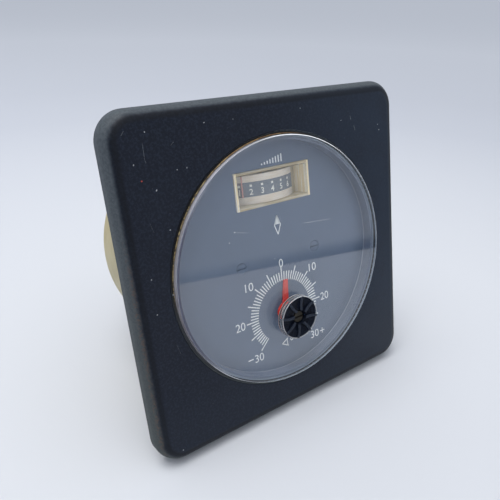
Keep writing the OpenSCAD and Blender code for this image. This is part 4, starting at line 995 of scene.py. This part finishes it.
bars = []
for i in range(BAR_COUNT):
    bar_x = BAR_X + i * BAR_PITCH
    bars.append(line(bar_x, BAR_FOOT_Z, bar_x, BAR_FOOT_Z + BAR_H + i * BAR_GROWTH, BAR_W))
printed("level_bars", bars)
corners = [(0, NEEDLE_TIP), (NEEDLE_FLANK, 0), (0, -NEEDLE_TIP), (-NEEDLE_FLANK, 0)]
sign = []
for (x0, z0), (x1, z1) in zip(corners, corners[1:] + corners[:1]):
    sign.append(line(NEEDLE_X + x0, NEEDLE_Z + z0, NEEDLE_X + x1, NEEDLE_Z + z1, 0.36))
for i in range(1, HATCH_COUNT + 1):
    height = i / (HATCH_COUNT + 1)
    half = NEEDLE_FLANK * (1 - height)
    hatch_z = NEEDLE_Z + NEEDLE_TIP * height
    sign.append(line(NEEDLE_X - half, hatch_z, NEEDLE_X + half, hatch_z, 0.56))
printed("needle_sign", sign)


# %% [markdown]
# The ring between lens and dial has the dial's grey. Its rear edge catches a little light where
# it meets the dial, so a paler line is painted there, by depth.

# %% Inner ring
def ring_finish():
    look = Finish("ring_grey", "#69758a", 0.5)
    edge = look.place().part(Y).past(DIAL_Y - 0.5, DIAL_Y - 0.3)
    tone = look.mix(look.cloud(3, 3.0), "#646f83", "#6f7b90")
    look.set(colour=look.mix(edge * 0.7, tone, "#a3aab8"))
    return look


dress(ring_finish(), "inner_ring")
print("inner ring from", [round(y, 2) for y in span("inner_ring", Y)])


# %% [markdown]
# The meter's scale is a cream card with a grey strip. Six white squares and six figures stand on
# the strip. Each is made flat at the origin and then turned to its own place round the needle's
# axis, so that they follow the curve as print does. The card's top rises a little, which closes
# the rest of the gap for the needle's arm.

# %% Meter scale
CARD_END_X = 10.6
CARD_RISE = 0.2
STRIP_FIRST, STRIP_STEP = -35.3, 11.8
SQUARE = 0.76
STRIP_FIGURE_H = 1.95


def scale_finish():
    look = Finish("scale_cream", "#ece3d2", 0.5)
    flat = look.cloud(0.5, 3.0, look.place(stretch=(0.1, 0.1, 1)))
    tall = look.cloud(0.5, 2.0, look.place(stretch=(1, 1, 0.1)))
    card = look.mix(flat.between(0.3, 0.75), "#fdf3ee", "#f0e0d2")
    case = look.mix(tall.between(0.4, 0.7), "#dcc79a", "#f6ead0")
    beyond = look.place().part(X).past(CARD_END_X, CARD_END_X + 0.3)
    look.set(colour=look.mix(beyond, card, case), roughness=0.45 + flat * 0.1)
    return look


def strip_finish():
    look = Finish("scale_grey", "#78839a", 0.55)
    # Painted light: towards its left end, where the red needle stands, the strip gets a painted pink cast
    # of the needle's light.
    left = 1 - look.place().part(X).past(-11.0, -8.5)
    tone = look.mix(look.cloud(1.2, 3.0).between(0.3, 0.75), "#6c788e", "#748096")
    look.set(colour=look.mix(left * 0.6, tone, "#8d7c86"))
    return look


def on_strip(piece, degrees, z):
    """Turns a piece from the origin to its place on the curved strip."""
    turn = Matrix.Rotation(math.radians(degrees), 4, "Z")
    out = Matrix.Translation(Vector((0, -SCALE_R - PRINT_T / 2, 0)) * MM)
    piece.matrix_world = Matrix.Translation(Vector((0, METER_AXIS_Y, z)) * MM) @ turn @ out
    return settled(piece)


SCALE = scale_finish()
STRIP_PRINT = speckled("strip_print", "#ffffff", "#f4f6f8", 1.0, roughness=0.5)
dress(SCALE, "meter_case")
dress(strip_finish(), "scale_strip")
meter_scale = merged_copy("meter_scale")
for vertex in meter_scale.data.vertices:
    if vertex.co.z > (SCALE_TOP - 0.05) * MM:
        vertex.co.z += CARD_RISE * MM
smooth(meter_scale, 30)
finished(meter_scale, SCALE, "housing", "scale_cream", "meter_scale")
strip_pieces = []
for number in range(1, 7):
    degrees = STRIP_FIRST + STRIP_STEP * (number - 1)
    square = line(-SQUARE / 2, 0, SQUARE / 2, 0, SQUARE)
    strip_pieces.append(on_strip(square, degrees, STRIP_Z + 1.25))
    numeral = figure(str(number), STRIP_FIGURE_H, boldness=0.012)
    strip_pieces.append(on_strip(numeral, degrees, STRIP_Z - 0.75))
finished(joined("strip_figures", strip_pieces), STRIP_PRINT, "housing", "print_white")


# %% [markdown]
# Age leaves small marks on a lens: thin scratches that catch the light, and dust. Each is a tiny
# pebble of its own, drawn out for a scratch, so that it stays when the materials are exported.

# %% Lens marks
LENS_SCRATCHES = [
    (13.5, 11.55, 12.4, 0.07, -6), (9.0, 11.95, 5.0, 0.06, -9), (-17.6, 14.75, 5.2, 0.06, -14),
]
LENS_SPECKS = [
    (-20.2, 15.5, 0.55, 0.4), (-22.5, 12.7, 0.35, 0.3), (-6.2, 3.2, 0.2, 0.2),
    (24.5, 20.0, 0.25, 0.2), (-30.5, -2.0, 0.25, 0.2), (5.5, -9.0, 0.18, 0.18),
]

DUST = speckled("lens_dust", "#c3c7cc", "#e6e8ea", 0.4)
lens_marks = [grain(*mark) for mark in LENS_SCRATCHES + LENS_SPECKS]
finished(joined("lens_marks", lens_marks), DUST, "housing", "lens_clear")


# %% [markdown]
# The frame has specks of dust and crumbs on its face, short scratches, and one red speck at the
# upper left.

# %% Frame marks
SPECKS = [
    (-47.8, 40.4, 0.55, 0.3, 60), (-42.5, 32.6, 0.6, 0.35, 50), (-35.5, 37.1, 0.4, 0.3),
    (-32.4, 37.2, 0.5, 0.3, 70), (-25.2, 48.7, 0.5, 0.3, 10), (-15.4, 48.6, 0.3, 0.25),
    (-40.3, 20.8, 0.45, 0.4), (-48.3, 8.1, 0.35, 0.5), (45.6, 39.9, 0.3, 0.3),
    (46.2, 37.9, 0.45, 0.4), (27.7, 43.3, 0.3, 0.25), (-48.4, -2.7, 0.4, 0.3),
    (-42.6, 1.7, 0.6, 0.4, 80), (-47.5, -50.0, 0.4, 0.3), (10.2, 49.1, 0.35, 0.3),
    (-43.3, 48.4, 0.35, 0.3),
]
SCRATCHES = [
    (-44.4, 46.0, -44.5, 40.8, 0.12), (-44.5, 41.2, -44.2, 40.2, 0.1), (-49.9, 48.2, -48.9, 49.4, 0.2),
    (32.0, 44.5, 32.4, 42.8, 0.3), (33.6, 41.1, 34.2, 39.0, 0.28), (-36.5, 43.8, -35.2, 44.9, 0.1),
    (-46.0, 24.0, -45.2, 21.0, 0.08), (-44.0, -14.0, -43.0, -18.0, 0.07),
]
RED_SPECK_AT = (-46.3, 35.8, 0.5, 0.45)


def scratch(x0, z0, x1, z1, width):
    """A streak on the frame's face between two places."""
    turn = math.degrees(math.atan2(z1 - z0, x1 - x0))
    return grain((x0 + x1) / 2, (z0 + z1) / 2, math.hypot(x1 - x0, z1 - z0), width, turn, FRAME_Y)


FRAME_DUST = speckled("frame_dust", "#6f767d", "#a7adb3", 0.5, (0.4, 0.6))
SCUFF = speckled("frame_scuff", "#2b3139", "#5d656e", 0.5, (0.35, 0.65), 0.6, 3.0)
RED_SPECK = speckled("red_speck", "#8c2c22", "#b53a2c", 0.3, roughness=0.6)
crumbs = [grain(*speck, on_y=FRAME_Y) for speck in SPECKS]
finished(joined("frame_crumbs", crumbs), FRAME_DUST, "housing", "frame_plastic")
scratches = [scratch(*ends) for ends in SCRATCHES]
finished(joined("frame_scratches", scratches), SCUFF, "housing", "frame_plastic")
red_speck = grain(*RED_SPECK_AT, on_y=FRAME_Y)
finished(joined("red_speck", [red_speck]), RED_SPECK, "housing", "frame_plastic")


# %% [markdown]
# The working parts have plain finishes. Two close tones in fine clouds, and a gloss that follows
# them, keep brass, steel and plastic from looking like paint in one even tone.

# %% Other finishes
def plain_finish(name, low, high, roughness, size=2.0, metallic=0.0, bump=0.0):
    """A finish of two close tones with grain."""
    look = Finish(name, low, roughness, metallic=metallic)
    fine = look.cloud(size, 4.0)
    look.set(colour=look.mix(fine.between(0.3, 0.75), low, high), roughness=roughness - 0.06 + fine * 0.14)
    if bump:
        look.set(normal=look.bump(look.cloud(size * 0.4, 3.0), bump))
    return look


STEEL = plain_finish("steel", "#a9abad", "#c3c4c5", 0.3, 1.5, 1.0)
GLASS = clear_finish("lamp_glass", "#fbfbf6", 0.02, 1.45, "#f4f4ee")
dress(STEEL, "spindle", "pot_cover", "pot_washer", "pot_nut", "pot_terminals", "meter_staff",
      "meter_screws", "board_screws", "terminal_tabs", "block_screws", "lamp_terminals",
      "hairspring_upper", "hairspring_lower")
dress(plain_finish("brass", "#b8934a", "#cfae66", 0.32, 1.5, 1.0), "pot_bush", "pot_wiper",
      "core_bars", "movement_frame", "jewel_screws", "needle_stops", "meter_terminals",
      "board_pillars", "pillar_nuts", "stud_nuts")
dress(plain_finish("gasket_rubber", "#1d1f21", "#292b2d", 0.8, 1.0, bump=0.02), "panel_gasket")
dress(plain_finish("bush_white", "#b9bbb8", "#c9cac6", 0.4), "lens_bush")
dress(plain_finish("carrier_plastic", "#4d5661", "#59636f", 0.6), "carrier")
dress(plain_finish("pointer_red", "#e6332c", "#ee4a40", 0.4), "pointer")
dress(plain_finish("dark_brass", "#15140f", "#241e12", 0.45, 0.8, 0.5), "knob_screw")
dress(plain_finish("phenolic", "#5a351d", "#6d4326", 0.5, 1.0), "pot_base")
dress(plain_finish("track_carbon", "#1a1a1c", "#28282a", 0.5, 0.5), "pot_track")
# The needle is painted pale pink, lighter than its own red, for the veil of light over it in the window.
dress(plain_finish("needle_red", "#e3a3a4", "#ecb7b6", 0.5, 1.0), "meter_needle")
dress(plain_finish("coil_copper", "#a05a30", "#b86c3c", 0.35, 0.3, 1.0, bump=0.03), "coil_winding")
dress(plain_finish("former_aluminium", "#b4b6b8", "#c8cacc", 0.35, 1.0, 1.0), "coil_former")
dress(plain_finish("core_iron", "#47494c", "#5a5c5f", 0.5, 1.0, 0.8), "core_magnet", "yoke_ring")
dress(plain_finish("board_green", "#2c5c3c", "#356a46", 0.4, 1.5), "circuit_board")
dress(plain_finish("wire_red", "#9c2a24", "#ac352d", 0.45, 1.0), "wires")
dress(plain_finish("block_black", "#1b1c1e", "#26282a", 0.45, 1.2, bump=0.02), "terminal_block",
      "lamp_holder")
dress(GLASS, "lamp_bulb")
print("materials so far:", len(bpy.data.materials))


# %% [markdown]
# The two studs that hold the instrument in its panel carry a screw thread. A flat grid is rolled
# into a tube whose radius follows the turns of the thread, and its ends are closed.

# %% Threaded studs
STUD_R = 2.5
STUD_NECK_R = 3
STUD_FLANGE_R = 5
STUD_FLANGE_T = 2
STUD_NUT_T = 3
NECK_PAST_NUT = 0.3
THREAD_DEPTH = 0.4
THREAD_PITCH = 0.8
THREAD_SIDES = 28
ROWS_PER_TURN = 6
OVERLAP = 0.1


def threaded(x, y0, y1):
    """A threaded bar along Y whose first and last turns run out in a cone, in millimetres."""
    nothing_selected()
    rows = round((y1 - y0) / THREAD_PITCH * ROWS_PER_TURN)
    bpy.ops.mesh.primitive_grid_add(x_subdivisions=THREAD_SIDES, y_subdivisions=rows, size=1)
    bar = bpy.context.object
    core_r = STUD_R - THREAD_DEPTH
    for vertex in bar.data.vertices:
        turn, y = vertex.co.x + 0.5, y0 + (vertex.co.y + 0.5) * (y1 - y0)
        wave = abs((y / THREAD_PITCH + turn) % 1 * 2 - 1)
        r = min(STUD_R - THREAD_DEPTH * (1 - wave), core_r + y1 - y, core_r + y - y0)
        angle = 2 * math.pi * (turn % 1)
        vertex.co = Vector((x + r * math.cos(angle), y, -r * math.sin(angle))) * MM
    edit(bar, clean(), lambda: bpy.ops.mesh.fill_holes(sides=0), clean())
    smooth(bar, 50)
    return bar


def make_stud(x):
    """The flange, the smooth neck under the nut and the thread of one stud."""
    stud_y0, stud_y1 = span("rear_studs", Y)
    neck_y = span("case_can", Y)[1] + STUD_NUT_T + NECK_PAST_NUT
    flange = disc(STUD_FLANGE_R, stud_y0, stud_y0 + STUD_FLANGE_T, x)
    neck = disc(STUD_NECK_R, stud_y0 + STUD_FLANGE_T - OVERLAP, neck_y, x)
    bevelled(neck, 0.2)
    return [flange, neck, threaded(x, neck_y - OVERLAP, stud_y1)]


stud_x = span("rear_studs", X)[1] - STUD_FLANGE_R
studs = make_stud(-stud_x) + make_stud(stud_x)
finished(joined("studs_threaded", studs), STEEL, "housing", "steel", "rear_studs")


# %% [markdown]
# The black insert of the knob is bluish and catches the light along its vanes, so their edges are
# softened, and their tops are painted a little greyer, a painted highlight.

# %% Knob insert
def insert_finish():
    look = Finish("knob_black", "#0a0d16", 0.36, specular_ior_level=0.05)
    # Painted highlight: the tops of the vanes are painted greyer.
    lit_vane_tops = 1 - look.place().part(Y).past(INSERT_Y + 0.12, INSERT_Y + 0.4)
    fine = look.cloud(0.5, 3.0, rough=0.6)
    tone = look.mix(fine.between(0.4, 0.6), "#0a0e17", "#171d2b")
    tone = look.mix(lit_vane_tops * (fine * 1.3 - 0.1), tone, "#3c424e")
    look.set(colour=tone, roughness=0.32 + fine * 0.12, normal=look.bump(fine, 0.01))
    return look


knob_insert = merged_copy("knob_insert")
bevelled(knob_insert, 0.09)
finished(knob_insert, insert_finish(), "setting", "knob_black", "knob_insert")


# %% [markdown]
# Last, the picture is taken with plain colours, and the sizes are written down for comparison.

# %% Finish
bpy.context.scene.view_settings.view_transform = "Standard"
